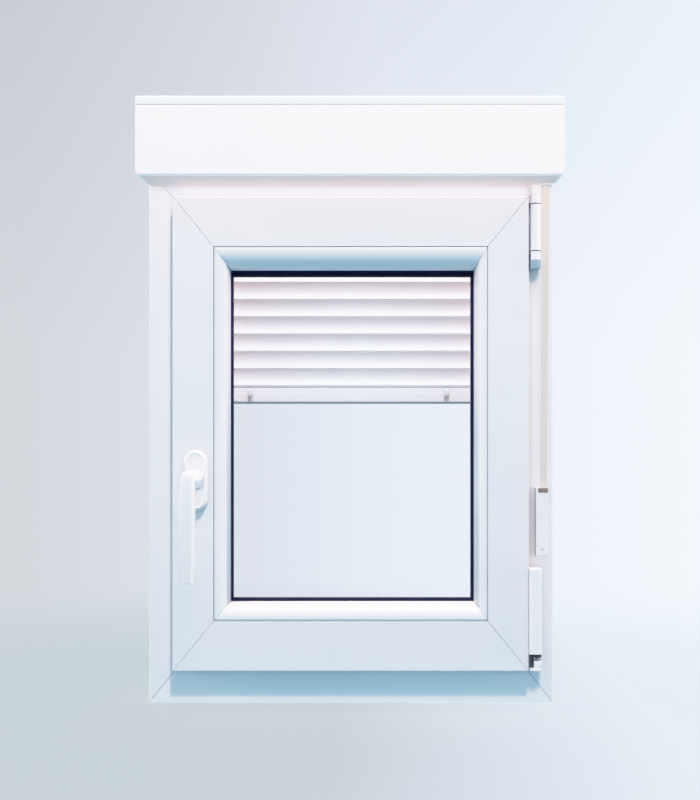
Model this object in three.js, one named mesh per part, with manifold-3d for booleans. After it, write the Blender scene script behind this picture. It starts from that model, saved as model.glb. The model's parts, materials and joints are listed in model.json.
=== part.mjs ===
// Tilt-and-turn window with a strap-driven roller shutter in a box on its head.
//
// Millimetres. +X runs right and +Y runs outdoors, as seen from the room, and +Z runs up.
// The origin is the centre of the sill's underside: x = 0 at half the frame's width, y = 0 at half its
// depth, z = 0 on the face that stands on the wall. The room side of everything is its low-y side.
import * as THREE from 'three';
import { mergeVertices } from 'three/addons/utils/BufferGeometryUtils.js';
import Module from 'manifold-3d';

const wasm = await Module();
wasm.setup();

// ---------- driving dimensions ----------
const GAP = 0.3; // air left between pieces that touch
const MITRE_GAP = 0.22; // how far each mitred end stands back

// Outer frame
const FRAME_HALF = 275;
const FRAME_HEIGHT = 722;
const FRAME_FRONT = -35;
const FRAME_BACK = 35;
const JAMB_WIDTH = 42.7; // room side, up to the rebate
const SILL_WIDTH = 53.5;
const HEAD_WIDTH = 43.5;
const UPSTAND_WIDTH = 64; // outdoor side, the stop that the sash closes on
const UPSTAND_FRONT = 18;

// Sash
const SASH_HALF = 240.3;
const SASH_LOW = 45.5;
const SASH_HIGH = 686.5;
const SASH_FRONT = -55;
const SASH_BACK = 15;
const FLANGE_BACK = -39; // the overlapping flange ends here, 4 mm off the frame
const FLANGE_WIDTH = 20;
const STILE_WIDTH = 55.3; // up to the glazing bead
const RAIL_WIDTH = 68;
const LIP_FRONT = -2; // outdoor glazing lip
const LIP_WIDTH = 75;

// Glazing
const BEAD_HALF = 185;
const BEAD_LOW = 113.5;
const BEAD_HIGH = 618.5;
const BEAD_WIDTHS = { left: 21.3, right: 17.5, top: 29.8, bottom: 24.4 };
const GLASS_FRONT = -30;
const PANE = 4;
const GLASS_DEPTH = 24;
const SPACER_SIGHT = { left: 4.7, right: 4.7, top: 6.8, bottom: 4.4 }; // seen inside the beads
const GASKET_SIGHT = 2.4;

// Hinge line and tilt axis
const HINGE_X = 249.2;
const HINGE_Y = -53;
const BARREL_RADIUS = 7;
const PIN_RADIUS = 3;
const SLIP = 0.4; // radial play round a turning pin

// Handle
const HANDLE_X = -208.6;
const HANDLE_Z = 304.5;
const ROSETTE_DROP = 1.2; // the rosette's middle lies this far below the spindle
const NECK_RADIUS = 11.6;
const SPINDLE_HALF = 3.5;
const CAM_RADIUS = 6.6;
const LOCK_EDGE = -SASH_HALF + FLANGE_WIDTH; // the edge of the sash that the lock is let into
const LOCK_Y = -12;
const STRIKER_HEIGHTS = { upper: 574, lower: 204 };
const KEEP_LENGTH = 70;

// Shutter box
const BOX_HALF = 279.5;
const BOX_LOW = 703;
const BOX_HIGH = 805.6;
const BOX_FRONT = -120;
const BOX_BACK = 110;
const BOX_WALL = 5;
const BOX_SEAM = 794.3;
const BOX_END = 6.5;
const BOX_FLOOR = FRAME_HEIGHT + GAP;

// Roller and curtain
const ROLL_Y = 12;
const ROLL_Z = 764.5;
const TUBE_FLATS = 26;
const ROLL_RADIUS = 34;
const PULLEY_RADIUS = 36;
const STRAP_COIL = 34.5;
const CURTAIN_HALF = 198;
const CURTAIN_Y = 46.7; // room side of the slats
const SLAT_PITCH = 24.5;
const SLAT_THICKNESS = 5;
const SLAT_CURVE = 2.9;
const CURTAIN_LOW = 409;
const BAR_HEIGHT = 25;
const VISIBLE_SLATS = 7;
const UPPER_SLATS = 6;
const STOP_PLACES = { left: -144, right: 135 };

// Guides
const GUIDE_INNER = 178;
const GUIDE_OUTER = 232;
const GUIDE_FRONT = FRAME_BACK + GAP;
const GUIDE_BACK = 66;
const SLOT_FRONT = 44.9;
const SLOT_BACK = 56.4;

// Strap drive
const STRAP_WIDTH = 8.8;
const STRAP_THICKNESS = 1.2;
const STRAP_Y = -47;
const STRAP_TOP_X = 264.3;
const STRAP_LEAN = 0.0083; // the strap leans this much to the left on its way down
const WINDER_LEFT = 250;
const WINDER_RIGHT = 267;
const WINDER_FRONT = -54;
const WINDER_LOW = 199;
const WINDER_HIGH = 293;
const DRUM_Y = -35.5;
const DRUM_Z = 246;
const DRUM_POCKET = 15.6; // half the height of the jamb's pocket for the drum

// ---------- materials ----------
const finish = (color, roughness, metalness = 0) =>
  new THREE.MeshStandardMaterial({ color, roughness, metalness });
const PVC = finish(0xeef0f6, 0.35);
const BEAD_PVC = finish(0xf3f6fc, 0.3);
const BOX_PVC = finish(0xf4f5fa, 0.35);
const WARM_PVC = finish(0xe9e1e2, 0.5);
const SEAL = finish(0x14203c, 0.7);
const GLASS = new THREE.MeshStandardMaterial({
  color: 0xe9eef6, roughness: 0.05, transparent: true, opacity: 0.35 });
const SPACER = finish(0x0b1234, 0.5, 0.3);
const LACQUER = finish(0xe8ebf4, 0.3);
const STEEL = finish(0xb9bdc4, 0.35, 0.9);
const DARK_STEEL = finish(0x4a4e59, 0.45, 0.8);
const SLAT = finish(0xf2f0f3, 0.4);
const WEBBING = finish(0xdbd2d3, 0.9);

// ---------- geometry helpers ----------
const outline = (points) => new THREE.Shape(points.map(([a, b]) => new THREE.Vector2(a, b)));

function circle(a, b, radius, sides = 24) {
  const points = [];
  for (let i = 0; i < sides; i += 1) {
    const angle = (2 * Math.PI * (i + 0.5)) / sides;
    points.push([a + radius * Math.cos(angle), b + radius * Math.sin(angle)]);
  }
  return points;
}

function rectangle(a0, a1, b0, b1) {
  return [[a0, b0], [a1, b0], [a1, b1], [a0, b1]];
}

function extrude(points, length, holes) {
  const shape = outline(points);
  shape.holes = holes.map((hole) => outline(hole));
  return new THREE.ExtrudeGeometry(shape, { depth: length, bevelEnabled: false });
}

// Each bar takes its section in the two axes that are left, in X, Y, Z order.
function barZ(points, z0, z1, ...holes) {
  return extrude(points, z1 - z0, holes).translate(0, 0, z0);
}

function barX(points, x0, x1, ...holes) {
  const turn = new THREE.Matrix4().set(0, 0, 1, x0, 1, 0, 0, 0, 0, 1, 0, 0, 0, 0, 0, 1);
  return extrude(points, x1 - x0, holes).applyMatrix4(turn);
}

function barY(points, y0, y1, ...holes) {
  const turn = new THREE.Matrix4().set(1, 0, 0, 0, 0, 0, -1, y1, 0, 1, 0, 0, 0, 0, 0, 1);
  return extrude(points, y1 - y0, holes).applyMatrix4(turn);
}

const block = (x0, x1, y0, y1, z0, z1) => barZ(rectangle(x0, x1, y0, y1), z0, z1);

// A strip of even thickness along a bent centre line.
function band(points, thickness) {
  const half = thickness / 2;
  const left = [];
  const right = [];
  points.forEach(([a, b], i) => {
    const [pa, pb] = points[Math.max(i - 1, 0)];
    const [na, nb] = points[Math.min(i + 1, points.length - 1)];
    const before = new THREE.Vector2(a - pa, b - pb).normalize();
    const after = new THREE.Vector2(na - a, nb - b).normalize();
    const along = before.clone().add(after).normalize();
    const edge = before.lengthSq() > 0 ? before : after;
    const reach = half / along.dot(edge);
    left.push([a - along.y * reach, b + along.x * reach]);
    right.push([a + along.y * reach, b - along.x * reach]);
  });
  return right.concat(left.reverse());
}

function solid(geometry) {
  const bare = geometry.clone();
  bare.deleteAttribute('normal');
  bare.deleteAttribute('uv');
  const merged = mergeVertices(bare, 1e-4);
  return new wasm.Manifold(new wasm.Mesh({
    numProp: 3,
    vertProperties: new Float32Array(merged.attributes.position.array),
    triVerts: new Uint32Array(merged.index.array),
  }));
}

function surface(manifold) {
  const mesh = manifold.getMesh();
  const geometry = new THREE.BufferGeometry();
  geometry.setAttribute('position', new THREE.BufferAttribute(mesh.vertProperties, 3));
  geometry.setIndex(new THREE.BufferAttribute(mesh.triVerts, 1));
  geometry.computeVertexNormals();
  return geometry;
}

function join(first, ...rest) {
  return surface(rest.reduce((whole, next) => whole.add(solid(next)), solid(first)));
}

function cut(first, ...rest) {
  return surface(rest.reduce((whole, next) => whole.subtract(solid(next)), solid(first)));
}

function common(first, second) {
  return surface(solid(first).intersect(solid(second)));
}

function piece(parent, name, geometry, material, x = 0, y = 0, z = 0) {
  const mesh = new THREE.Mesh(geometry, material);
  mesh.name = name;
  mesh.position.set(x, y, z);
  parent.add(mesh);
  return mesh;
}

function groupAt(parent, x = 0, y = 0, z = 0) {
  const group = new THREE.Group();
  group.position.set(x, y, z);
  parent.add(group);
  return group;
}

// One mitred bar of a rectangular ring. The section's first axis is the distance inwards from the ring's
// outer edge. Each side can stretch that distance, and the mitres run from corner to corner all the same.
function mitred(section, ring, side) {
  const bar = extrude(section, 1, []);
  const position = bar.attributes.position;
  for (let i = 0; i < position.count; i += 1) {
    const inwards = position.getX(i);
    const y = position.getY(i);
    const far = position.getZ(i) > 0.5;
    const left = -ring.half + inwards * ring.stretch.left;
    const right = ring.half - inwards * ring.stretch.right;
    const low = ring.low + inwards * ring.stretch.bottom;
    const high = ring.high - inwards * ring.stretch.top;
    if (side === 'left' || side === 'right') {
      position.setXYZ(i, side === 'left' ? left : right, y, far ? high - MITRE_GAP : low + MITRE_GAP);
    } else {
      position.setXYZ(i, far ? right - MITRE_GAP : left + MITRE_GAP, y, side === 'top' ? high : low);
    }
  }
  // Mirrored bars turn inside out, so their triangles are wound the other way.
  if (side === 'right' || side === 'bottom') {
    for (let i = 0; i < position.count; i += 3) {
      const first = new THREE.Vector3().fromBufferAttribute(position, i);
      const second = new THREE.Vector3().fromBufferAttribute(position, i + 1);
      position.setXYZ(i, second.x, second.y, second.z);
      position.setXYZ(i + 1, first.x, first.y, first.z);
    }
  }
  return bar;
}

// A flat rectangular ring between two depths, inset from its outer edge by a width on every side.
function flatRing(half, low, high, width, y0, y1) {
  const inner = rectangle(-half + width, half - width, low + width, high - width);
  return barY(rectangle(-half, half, low, high), y0, y1, inner);
}

const windowUnit = new THREE.Group();

// ---------- outer frame ----------
function addFrame(parent) {
  const ring = {
    half: FRAME_HALF,
    low: 0,
    high: FRAME_HEIGHT,
    stretch: { left: 1, right: 1, bottom: SILL_WIDTH / JAMB_WIDTH, top: HEAD_WIDTH / JAMB_WIDTH },
  };
  const section = [
    [0, FRAME_FRONT + 1.5], [1.5, FRAME_FRONT], [JAMB_WIDTH - 1.5, FRAME_FRONT],
    [JAMB_WIDTH, FRAME_FRONT + 1.5], [JAMB_WIDTH, UPSTAND_FRONT], [UPSTAND_WIDTH - 1, UPSTAND_FRONT],
    [UPSTAND_WIDTH, UPSTAND_FRONT + 1], [UPSTAND_WIDTH, FRAME_BACK - 2], [UPSTAND_WIDTH - 2, FRAME_BACK],
    [0, FRAME_BACK],
  ];
  piece(parent, 'frame_head', mitred(section, ring, 'top'), PVC);
  piece(parent, 'frame_sill', mitred(section, ring, 'bottom'), PVC);
  piece(parent, 'frame_left_jamb', mitred(section, ring, 'left'), PVC);

  // The winder's drum sits half sunk in a pocket of the right jamb.
  const pocket = block(WINDER_LEFT + 2.6, WINDER_RIGHT - 0.3, FRAME_FRONT - 1, -21.5,
    DRUM_Z - DRUM_POCKET, DRUM_Z + DRUM_POCKET);
  piece(parent, 'frame_right_jamb', cut(mitred(section, ring, 'right'), pocket), PVC);

  const sealHalf = FRAME_HALF - JAMB_WIDTH - 13;
  const sealRing = flatRing(sealHalf, SILL_WIDTH + 16, FRAME_HEIGHT - HEAD_WIDTH - 13, 7,
    SASH_BACK + GAP, UPSTAND_FRONT - GAP);
  piece(parent, 'frame_seal', sealRing, SEAL);
}

// ---------- sash, beads and glass ----------
function addSash(parent) {
  const slope = RAIL_WIDTH / STILE_WIDTH;
  const stretch = { left: 1, right: 1, bottom: slope, top: slope };
  const ring = { half: SASH_HALF, low: SASH_LOW, high: SASH_HIGH, stretch };
  const section = [
    [0, SASH_FRONT + 1.8], [0.5, SASH_FRONT + 0.5], [1.8, SASH_FRONT], [STILE_WIDTH, SASH_FRONT],
    [STILE_WIDTH, LIP_FRONT], [LIP_WIDTH - 3, LIP_FRONT], [LIP_WIDTH, LIP_FRONT + 3],
    [LIP_WIDTH, SASH_BACK - 2], [LIP_WIDTH - 2, SASH_BACK], [FLANGE_WIDTH, SASH_BACK],
    [FLANGE_WIDTH, FLANGE_BACK], [0, FLANGE_BACK],
  ];
  piece(parent, 'sash_top_rail', mitred(section, ring, 'top'), PVC);
  piece(parent, 'sash_bottom_rail', mitred(section, ring, 'bottom'), PVC);
  piece(parent, 'sash_right_stile', mitred(section, ring, 'right'), PVC);

  // The left stile carries the lock: a groove for the rod, a pocket for the gearbox and the spindle's hole.
  const groove = block(LOCK_EDGE - 1, LOCK_EDGE + 3.4, LOCK_Y - 8.4, LOCK_Y + 8.4, 96, 640);
  const pocket = block(LOCK_EDGE + 2, LOCK_EDGE + 27, LOCK_Y - 7.4, LOCK_Y + 7.4,
    HANDLE_Z - 52, HANDLE_Z + 52);
  const hole = barY(circle(HANDLE_X, HANDLE_Z, 6), SASH_FRONT - 1, LOCK_Y - 6);
  piece(parent, 'sash_left_stile', cut(mitred(section, ring, 'left'), groove, pocket, hole), PVC);
}

// The rectangle that is left when every side of the glazing is taken in by its own amount.
function sightRectangle(inset) {
  return rectangle(-BEAD_HALF + inset.left, BEAD_HALF - inset.right, BEAD_LOW + inset.bottom,
    BEAD_HIGH - inset.top);
}

function addGlazing(parent) {
  const ring = { half: BEAD_HALF - GAP, low: BEAD_LOW + GAP, high: BEAD_HIGH - GAP, stretch: BEAD_WIDTHS };
  const back = GLASS_FRONT - 2.1;
  const crown = 21.5;
  const flat = 0.15; // share of the bead's width that is flat beside the sash
  const section = [[0, back], [1, back]];
  const steps = 10;
  for (let i = 0; i <= steps; i += 1) {
    const angle = (Math.PI / 2) * (i / steps);
    section.push([flat + (1 - flat) * Math.cos(angle), back - 1 - crown * Math.sin(angle)]);
  }
  section.push([0.04, back - 0.8 - crown], [0, back - crown + 0.4]);
  ['top', 'bottom', 'left', 'right'].forEach((side) => {
    piece(parent, `bead_${side}`, mitred(section, ring, side), BEAD_PVC);
  });

  const glassBack = GLASS_FRONT + GLASS_DEPTH;
  const all = (value) => ({ left: value, right: value, top: value, bottom: value });
  const sight = (extra) => {
    const inset = {};
    Object.keys(BEAD_WIDTHS).forEach((side) => {
      inset[side] = BEAD_WIDTHS[side] + (extra[side] ?? extra);
    });
    return sightRectangle(inset);
  };
  const pane = sightRectangle(all(3));
  piece(parent, 'inner_pane', barY(pane, GLASS_FRONT, GLASS_FRONT + PANE), GLASS);
  piece(parent, 'outer_pane', barY(pane, glassBack - PANE, glassBack), GLASS);
  const between = [GLASS_FRONT + PANE + GAP, glassBack - PANE - GAP];
  piece(parent, 'glass_spacer', barY(sightRectangle(all(9)), ...between, sight(SPACER_SIGHT)), SPACER);
  piece(parent, 'glazing_gasket', barY(pane, back + GAP, GLASS_FRONT - GAP, sight(GASKET_SIGHT)), SEAL);
}

// ---------- handle and lock ----------
function stadium(a, b, halfWidth, halfHeight, sides = 12) {
  const points = [];
  for (let i = 0; i <= sides; i += 1) {
    const angle = (Math.PI * i) / sides;
    points.push([a + halfWidth * Math.cos(angle), b + halfHeight - halfWidth + halfWidth * Math.sin(angle)]);
  }
  for (let i = 0; i <= sides; i += 1) {
    const angle = Math.PI + (Math.PI * i) / sides;
    points.push([a + halfWidth * Math.cos(angle), b - halfHeight + halfWidth + halfWidth * Math.sin(angle)]);
  }
  return points;
}

function addHandle(parent) {
  const handle = groupAt(parent, HANDLE_X, SASH_FRONT, HANDLE_Z);
  const neckHole = circle(0, 0, NECK_RADIUS + 0.5);
  const layers = [
    { halfWidth: 16.2, halfHeight: 41, from: -3, to: -GAP },
    { halfWidth: 15, halfHeight: 39.8, from: -6.5, to: -2.9 },
    { halfWidth: 13.6, halfHeight: 38.6, from: -9.5, to: -6.4 },
  ];
  const rosette = join(...layers.map(({ halfWidth, halfHeight, from, to }) => (
    barY(stadium(0, -ROSETTE_DROP, halfWidth, halfHeight), from, to, neckHole))));
  piece(handle, 'handle_rosette', rosette, LACQUER);

  // The grip is the common part of its front outline and its side outline.
  const front = [
    [4.5, 5], [3, 10], [-1, 12.6], [-6, 12], [-11, 8.6], [-14, 4], [-15.2, -12], [-16.6, -34], [-17.1, -52],
    [-16.6, -78], [-15.2, -100], [-12.6, -133], [-12.3, -136.4], [1.9, -136.4], [2.1, -130], [3.4, -106],
    [4.5, -64], [4.9, -40], [4.7, -18],
  ];
  const side = [
    [-32, 13], [-52, 13], [-54, 4], [-54, -40], [-51, -90], [-46.5, -138], [-35.5, -138], [-37, -90],
    [-38, -40], [-37, -14], [-32, -8],
  ];
  const grip = common(barY(front, -60, -20), barX(side, -30, 30));
  const neck = barY(circle(0, 0, NECK_RADIUS), -42, -1);
  const squareHole = SPINDLE_HALF + SLIP;
  const bore = block(-squareHole, squareHole, -25, 0, -squareHole, squareHole);
  piece(handle, 'handle_lever', cut(join(grip, neck), bore), LACQUER);

  // The square spindle carries a round cam that turns inside the gearbox and drives the rod.
  const seatY = LOCK_Y - SASH_FRONT;
  const spindle = join(
    block(-SPINDLE_HALF, SPINDLE_HALF, -24, seatY, -SPINDLE_HALF, SPINDLE_HALF),
    barY(circle(0, 0, CAM_RADIUS), seatY - 6.4, seatY + 6.6),
  );
  piece(handle, 'handle_spindle', spindle, STEEL);
  const gearbox = cut(
    block(LOCK_EDGE + 3.7, LOCK_EDGE + 26.7, LOCK_Y - 7, LOCK_Y + 7, HANDLE_Z - 51.5, HANDLE_Z + 51.5),
    barY(circle(HANDLE_X, HANDLE_Z, CAM_RADIUS + GAP), LOCK_Y - 8, LOCK_Y + 8),
  );
  piece(parent, 'lock_gearbox', gearbox, STEEL);

  const plate = block(LOCK_EDGE + 0.4, LOCK_EDGE + 3, LOCK_Y - 8, LOCK_Y + 8, 140, 596);
  const cams = Object.values(STRIKER_HEIGHTS).map((z) => (
    barX(circle(LOCK_Y, z - 14, 4), LOCK_EDGE - 5, LOCK_EDGE + 1)));
  piece(parent, 'lock_rod', join(plate, ...cams), STEEL);
}

function addStrikers(parent) {
  const wall = -FRAME_HALF + JAMB_WIDTH + GAP;
  const section = [
    [wall, -24], [wall + 2.5, -24], [wall + 2.5, -6], [wall + 5, -2], [wall + 5, 2], [wall, 2],
  ];
  Object.entries(STRIKER_HEIGHTS).forEach(([name, z]) => {
    piece(parent, `striker_${name}`, barZ(section, -KEEP_LENGTH / 2, KEEP_LENGTH / 2), STEEL, 0, 0, z);
  });
}

// ---------- hinges ----------
function addTopHinge(parent) {
  const hinge = groupAt(parent, HINGE_X, HINGE_Y, 0);
  const face = FRAME_FRONT - GAP - HINGE_Y;
  const leg = rectangle(-3, 4.5, 4, face);
  const bore = circle(0, 0, PIN_RADIUS + SLIP, 16);
  const knuckle = (z0, z1) => join(barZ(circle(0, 0, BARREL_RADIUS), z0, z1), barZ(leg, z0, z1));
  const plate = block(1.5, 8, face - 2.3, face, 589, 700);
  const cap = block(-6, 7.4, -6.4, face, 689.2, 700);
  const bracket = cut(join(plate, knuckle(589, 613.4), knuckle(677.4, 690), cap), barZ(bore, 591, 688));
  piece(hinge, 'top_hinge_bracket', bracket, LACQUER);
  piece(hinge, 'top_hinge_pin', barZ(circle(0, 0, PIN_RADIUS, 16), 591.3, 687.7), STEEL);

  // The stay arm bends round the sash flange and lies in the rebate above the sash.
  const arm = band([[-3, 4.5], [-6.3, 15.9], [-19.3, 15.9], [-25.5, 31], [-204, 31]], 1.8);
  const sleeve = barZ(circle(0, 0, BARREL_RADIUS), 613.9, 676.9);
  const strip = barZ(arm, 672.2, 676.5);
  const stay = cut(join(sleeve, strip), barZ(bore, 600, 690));
  piece(hinge, 'stay_arm', stay, LACQUER);
}

function addBottomHinge(parent) {
  const hinge = groupAt(parent, HINGE_X, HINGE_Y, 0);
  const face = FRAME_FRONT - GAP - HINGE_Y;
  // The pivot turns on the bearing's spigot, and carries the sash on a spigot of its own.
  const seatTop = 50.6;
  const boreTop = 60.6;
  const seat = join(
    block(-7.8, 9, face - 3, face, 47.2, 70),
    block(-7, 7, -2, face, 47.2, seatTop),
    barZ(circle(0, 0, 8), 47.2, seatTop),
    barZ(circle(0, 0, PIN_RADIUS, 16), seatTop - 0.5, boreTop - 0.6),
  );
  piece(hinge, 'bottom_hinge_bearing', seat, LACQUER);

  const spigot = circle(0, 0, PIN_RADIUS + SLIP, 16);
  const pivot = cut(
    join(
      barZ(circle(0, 0, 7.6), seatTop + SLIP, 64),
      block(-6.6, 6.6, -4.6, 4.6, 63.5, 68.6),
      barZ(spigot, 68, 76),
    ),
    barZ(spigot, seatTop, boreTop),
  );
  piece(hinge, 'bottom_hinge_pivot', pivot, DARK_STEEL);

  // The leaf's knuckle stands over the pivot's spigot with room for the tilt.
  const strip = band([[-2.5, 4.4], [-6.3, 15.9], [-19.3, 15.9], [-27.3, 20], [-27.3, 44]], 1.8);
  const leaf = join(barZ(circle(0, 0, 6), 80, 176), barZ(strip, 92, 164));
  piece(hinge, 'bottom_hinge_leaf', leaf, STEEL);

  const outside = [
    [-8.6, 10], [-8.6, -5.4], [-7, -8.2], [-4, -9.4], [4, -9.4], [7, -8.2], [8.6, -5.4], [8.6, 10],
  ];
  const inside = [
    [-6.9, 30], [-6.9, -4.6], [-5.6, -6.8], [-3.4, -7.7], [3.4, -7.7], [5.6, -6.8], [6.9, -4.6], [6.9, 30],
  ];
  const cover = cut(barZ(outside, 69.6, 185.3), barZ(inside, 60, 183.2));
  piece(hinge, 'bottom_hinge_cover', cover, LACQUER);
}

// ---------- shutter box ----------
function addBox(parent) {
  const inner = BOX_FRONT + BOX_WALL;
  const rear = BOX_BACK - BOX_WALL;
  const between = BOX_HALF - BOX_END - GAP;
  const flange = inner + 7;
  const notch = 4.4;
  const past = 1;
  const corner = (side) => barY([
    [side * (BOX_HALF + past), BOX_LOW - past], [side * (BOX_HALF - notch), BOX_LOW - past],
    [side * (BOX_HALF + past), BOX_LOW + notch + past],
  ], BOX_FRONT - past, flange + past);
  const front = [
    [BOX_FRONT, BOX_LOW + 1], [BOX_FRONT + 1, BOX_LOW], [flange, BOX_LOW], [flange, BOX_LOW + 3.5],
    [inner, BOX_LOW + 3.5], [inner, BOX_SEAM - GAP], [BOX_FRONT + 0.5, BOX_SEAM - GAP],
    [BOX_FRONT, BOX_SEAM - GAP - 0.5],
  ];
  piece(parent, 'box_front_cover', cut(barX(front, -BOX_HALF, BOX_HALF), corner(-1), corner(1)), BOX_PVC);

  const roof = BOX_HIGH - 4;
  const lid = [
    [BOX_FRONT, BOX_SEAM + 0.5], [BOX_FRONT + 0.5, BOX_SEAM], [inner, BOX_SEAM], [inner, roof],
    [rear, roof], [rear, BOX_SEAM], [BOX_BACK - 1, BOX_SEAM], [BOX_BACK, BOX_SEAM + 1],
    [BOX_BACK, BOX_HIGH - 1.5], [BOX_BACK - 1.5, BOX_HIGH], [BOX_FRONT + 1.5, BOX_HIGH],
    [BOX_FRONT, BOX_HIGH - 1.5],
  ];
  piece(parent, 'box_lid', barX(lid, -BOX_HALF, BOX_HALF), BOX_PVC);

  const underFront = flange + GAP;
  const underBack = FRAME_FRONT - GAP;
  const outletHole = block(STRAP_TOP_X - 7.3, STRAP_TOP_X + 7.3, STRAP_Y - 6.3, STRAP_Y + 6.3,
    BOX_LOW - 3, BOX_LOW + 7);
  const under = block(-between, between, underFront, underBack, BOX_LOW, BOX_LOW + 4);
  piece(parent, 'box_underside', cut(under, outletHole), WARM_PVC);
  piece(parent, 'box_floor', block(-between, between, FRAME_FRONT, 43, BOX_FLOOR, BOX_FLOOR + 4.4), PVC);

  const outer = join(
    block(-BOX_HALF, BOX_HALF, rear, BOX_BACK, BOX_FLOOR, BOX_SEAM - GAP),
    block(-between, between, 60, rear + 1, BOX_FLOOR, BOX_FLOOR + 4.4),
  );
  piece(parent, 'box_outer_panel', outer, BOX_PVC);

  const end = [
    [inner + GAP, BOX_LOW + 4], [underBack, BOX_LOW + 4], [underBack, BOX_FLOOR], [rear - GAP, BOX_FLOOR],
    [rear - GAP, roof - GAP], [inner + GAP, roof - GAP],
  ];
  const edge = BOX_HALF - BOX_END;
  piece(parent, 'box_left_end', barX(end, -BOX_HALF, -edge), BOX_PVC);
  const stub = barX(circle(ROLL_Y, ROLL_Z, 5.6, 20), edge - 9, edge + 1);
  piece(parent, 'box_right_end', join(barX(end, edge, BOX_HALF), stub), BOX_PVC);
}

// ---------- roller ----------
function addRoller(parent) {
  const roller = groupAt(parent, 0, ROLL_Y, ROLL_Z);
  const edge = BOX_HALF - BOX_END;
  const corner = TUBE_FLATS / 2 / Math.cos(Math.PI / 8);
  const octagon = circle(0, 0, corner, 8);
  const bore = circle(0, 0, corner - 1.8, 8);
  const plug = circle(0, 0, corner - 2.3, 8);
  piece(roller, 'roller_tube', barX(octagon, -250, 252, bore), STEEL);
  const idlePlug = join(barX(plug, -249, -215), barX(circle(0, 0, 6, 20), -268, -248));
  piece(roller, 'idle_end_plug', idlePlug, DARK_STEEL);
  const bearing = cut(
    barX(circle(0, 0, 15), -edge + GAP, -edge + 12),
    barX(circle(0, 0, 6.3, 20), -edge + 4, -edge + 13),
  );
  piece(roller, 'idle_bearing', bearing, DARK_STEEL);

  const pulley = cut(
    join(
      barX(circle(0, 0, PULLEY_RADIUS, 32), 257.9, 259.3),
      barX(circle(0, 0, STRAP_COIL, 32), 258.9, 270.6),
      barX(circle(0, 0, PULLEY_RADIUS, 32), 270.2, 271.6),
      barX(plug, 220, 258),
    ),
    barX(circle(0, 0, 5.9, 20), 263, 273),
  );
  piece(roller, 'strap_pulley', pulley, LACQUER);

  // The wound part of the curtain, as one spiral strip from the tube outwards to the hanging slats.
  const layer = 6.3;
  const thickness = 5.6;
  const inner = corner + GAP + thickness / 2 + 0.2;
  const turns = (ROLL_RADIUS - thickness / 2 - inner) / layer;
  const steps = 32;
  const spiral = [];
  for (let i = 0; i <= steps; i += 1) {
    const angle = -2 * Math.PI * turns * (1 - i / steps);
    const radius = inner + layer * turns * (i / steps);
    spiral.push([radius * Math.cos(angle), radius * Math.sin(angle)]);
  }
  piece(roller, 'wound_slats', barX(band(spiral, thickness), -CURTAIN_HALF, CURTAIN_HALF), SLAT);
}

// ---------- curtain ----------
// One slat's section: hollow towards the room, with a bead along its lower edge and a hook above.
function slatSection(count) {
  const room = [];
  const outdoor = [];
  const steps = 6;
  for (let slat = 0; slat < count; slat += 1) {
    const base = slat * SLAT_PITCH;
    room.push([0, base], [0, base + 1.8]);
    for (let i = 1; i <= steps; i += 1) {
      const share = i / (steps + 1);
      const bow = SLAT_CURVE * Math.sin(Math.PI * share);
      room.push([0.9 + bow, base + 1.8 + (SLAT_PITCH - 3.6) * share]);
    }
    room.push([1.2, base + SLAT_PITCH - 1.2], [1.2, base + SLAT_PITCH - GAP]);
    outdoor.push([SLAT_THICKNESS - 0.6, base]);
    for (let i = 1; i < steps; i += 1) {
      const bow = SLAT_CURVE * Math.sin((Math.PI * i) / steps);
      outdoor.push([SLAT_THICKNESS - 0.6 + bow, base + ((SLAT_PITCH - GAP) * i) / steps]);
    }
    outdoor.push([SLAT_THICKNESS - 0.6, base + SLAT_PITCH - GAP]);
  }
  return outdoor.concat(room.reverse());
}

function addCurtain(parent) {
  const curtain = groupAt(parent, 0, CURTAIN_Y, CURTAIN_LOW);
  const bar = [
    [0, 1.5], [1.5, 0], [6.5, 0], [8, 1.5], [8, 21], [5.5, BAR_HEIGHT - GAP], [1.2, BAR_HEIGHT - GAP],
    [1.2, 23.4], [0, 22.4],
  ];
  piece(curtain, 'bottom_bar', barX(bar, -CURTAIN_HALF, CURTAIN_HALF), SLAT);
  const oneSlat = slatSection(1);
  for (let i = 0; i < VISIBLE_SLATS; i += 1) {
    piece(curtain, `slat_${i + 1}`, barX(oneSlat, -CURTAIN_HALF, CURTAIN_HALF), SLAT,
      0, 0, BAR_HEIGHT + i * SLAT_PITCH);
  }
  const upperHeight = UPPER_SLATS * SLAT_PITCH;
  const upper = join(
    barX(slatSection(UPPER_SLATS), -CURTAIN_HALF, CURTAIN_HALF),
    block(-CURTAIN_HALF, CURTAIN_HALF, 1.2, 4.4, upperHeight - 1, upperHeight + 8),
  );
  piece(curtain, 'upper_slats', upper, SLAT, 0, 0, BAR_HEIGHT + VISIBLE_SLATS * SLAT_PITCH);

  Object.entries(STOP_PLACES).forEach(([side, x]) => {
    const foot = barY(stadium(0.8, 11, 2, 7.5), -2.5, -GAP);
    const knob = barY(stadium(0, 16.2, 2.9, 6), -8, -2);
    piece(curtain, `${side}_stop`, join(foot, knob), LACQUER, x, 0, 0);
  });
}

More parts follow.
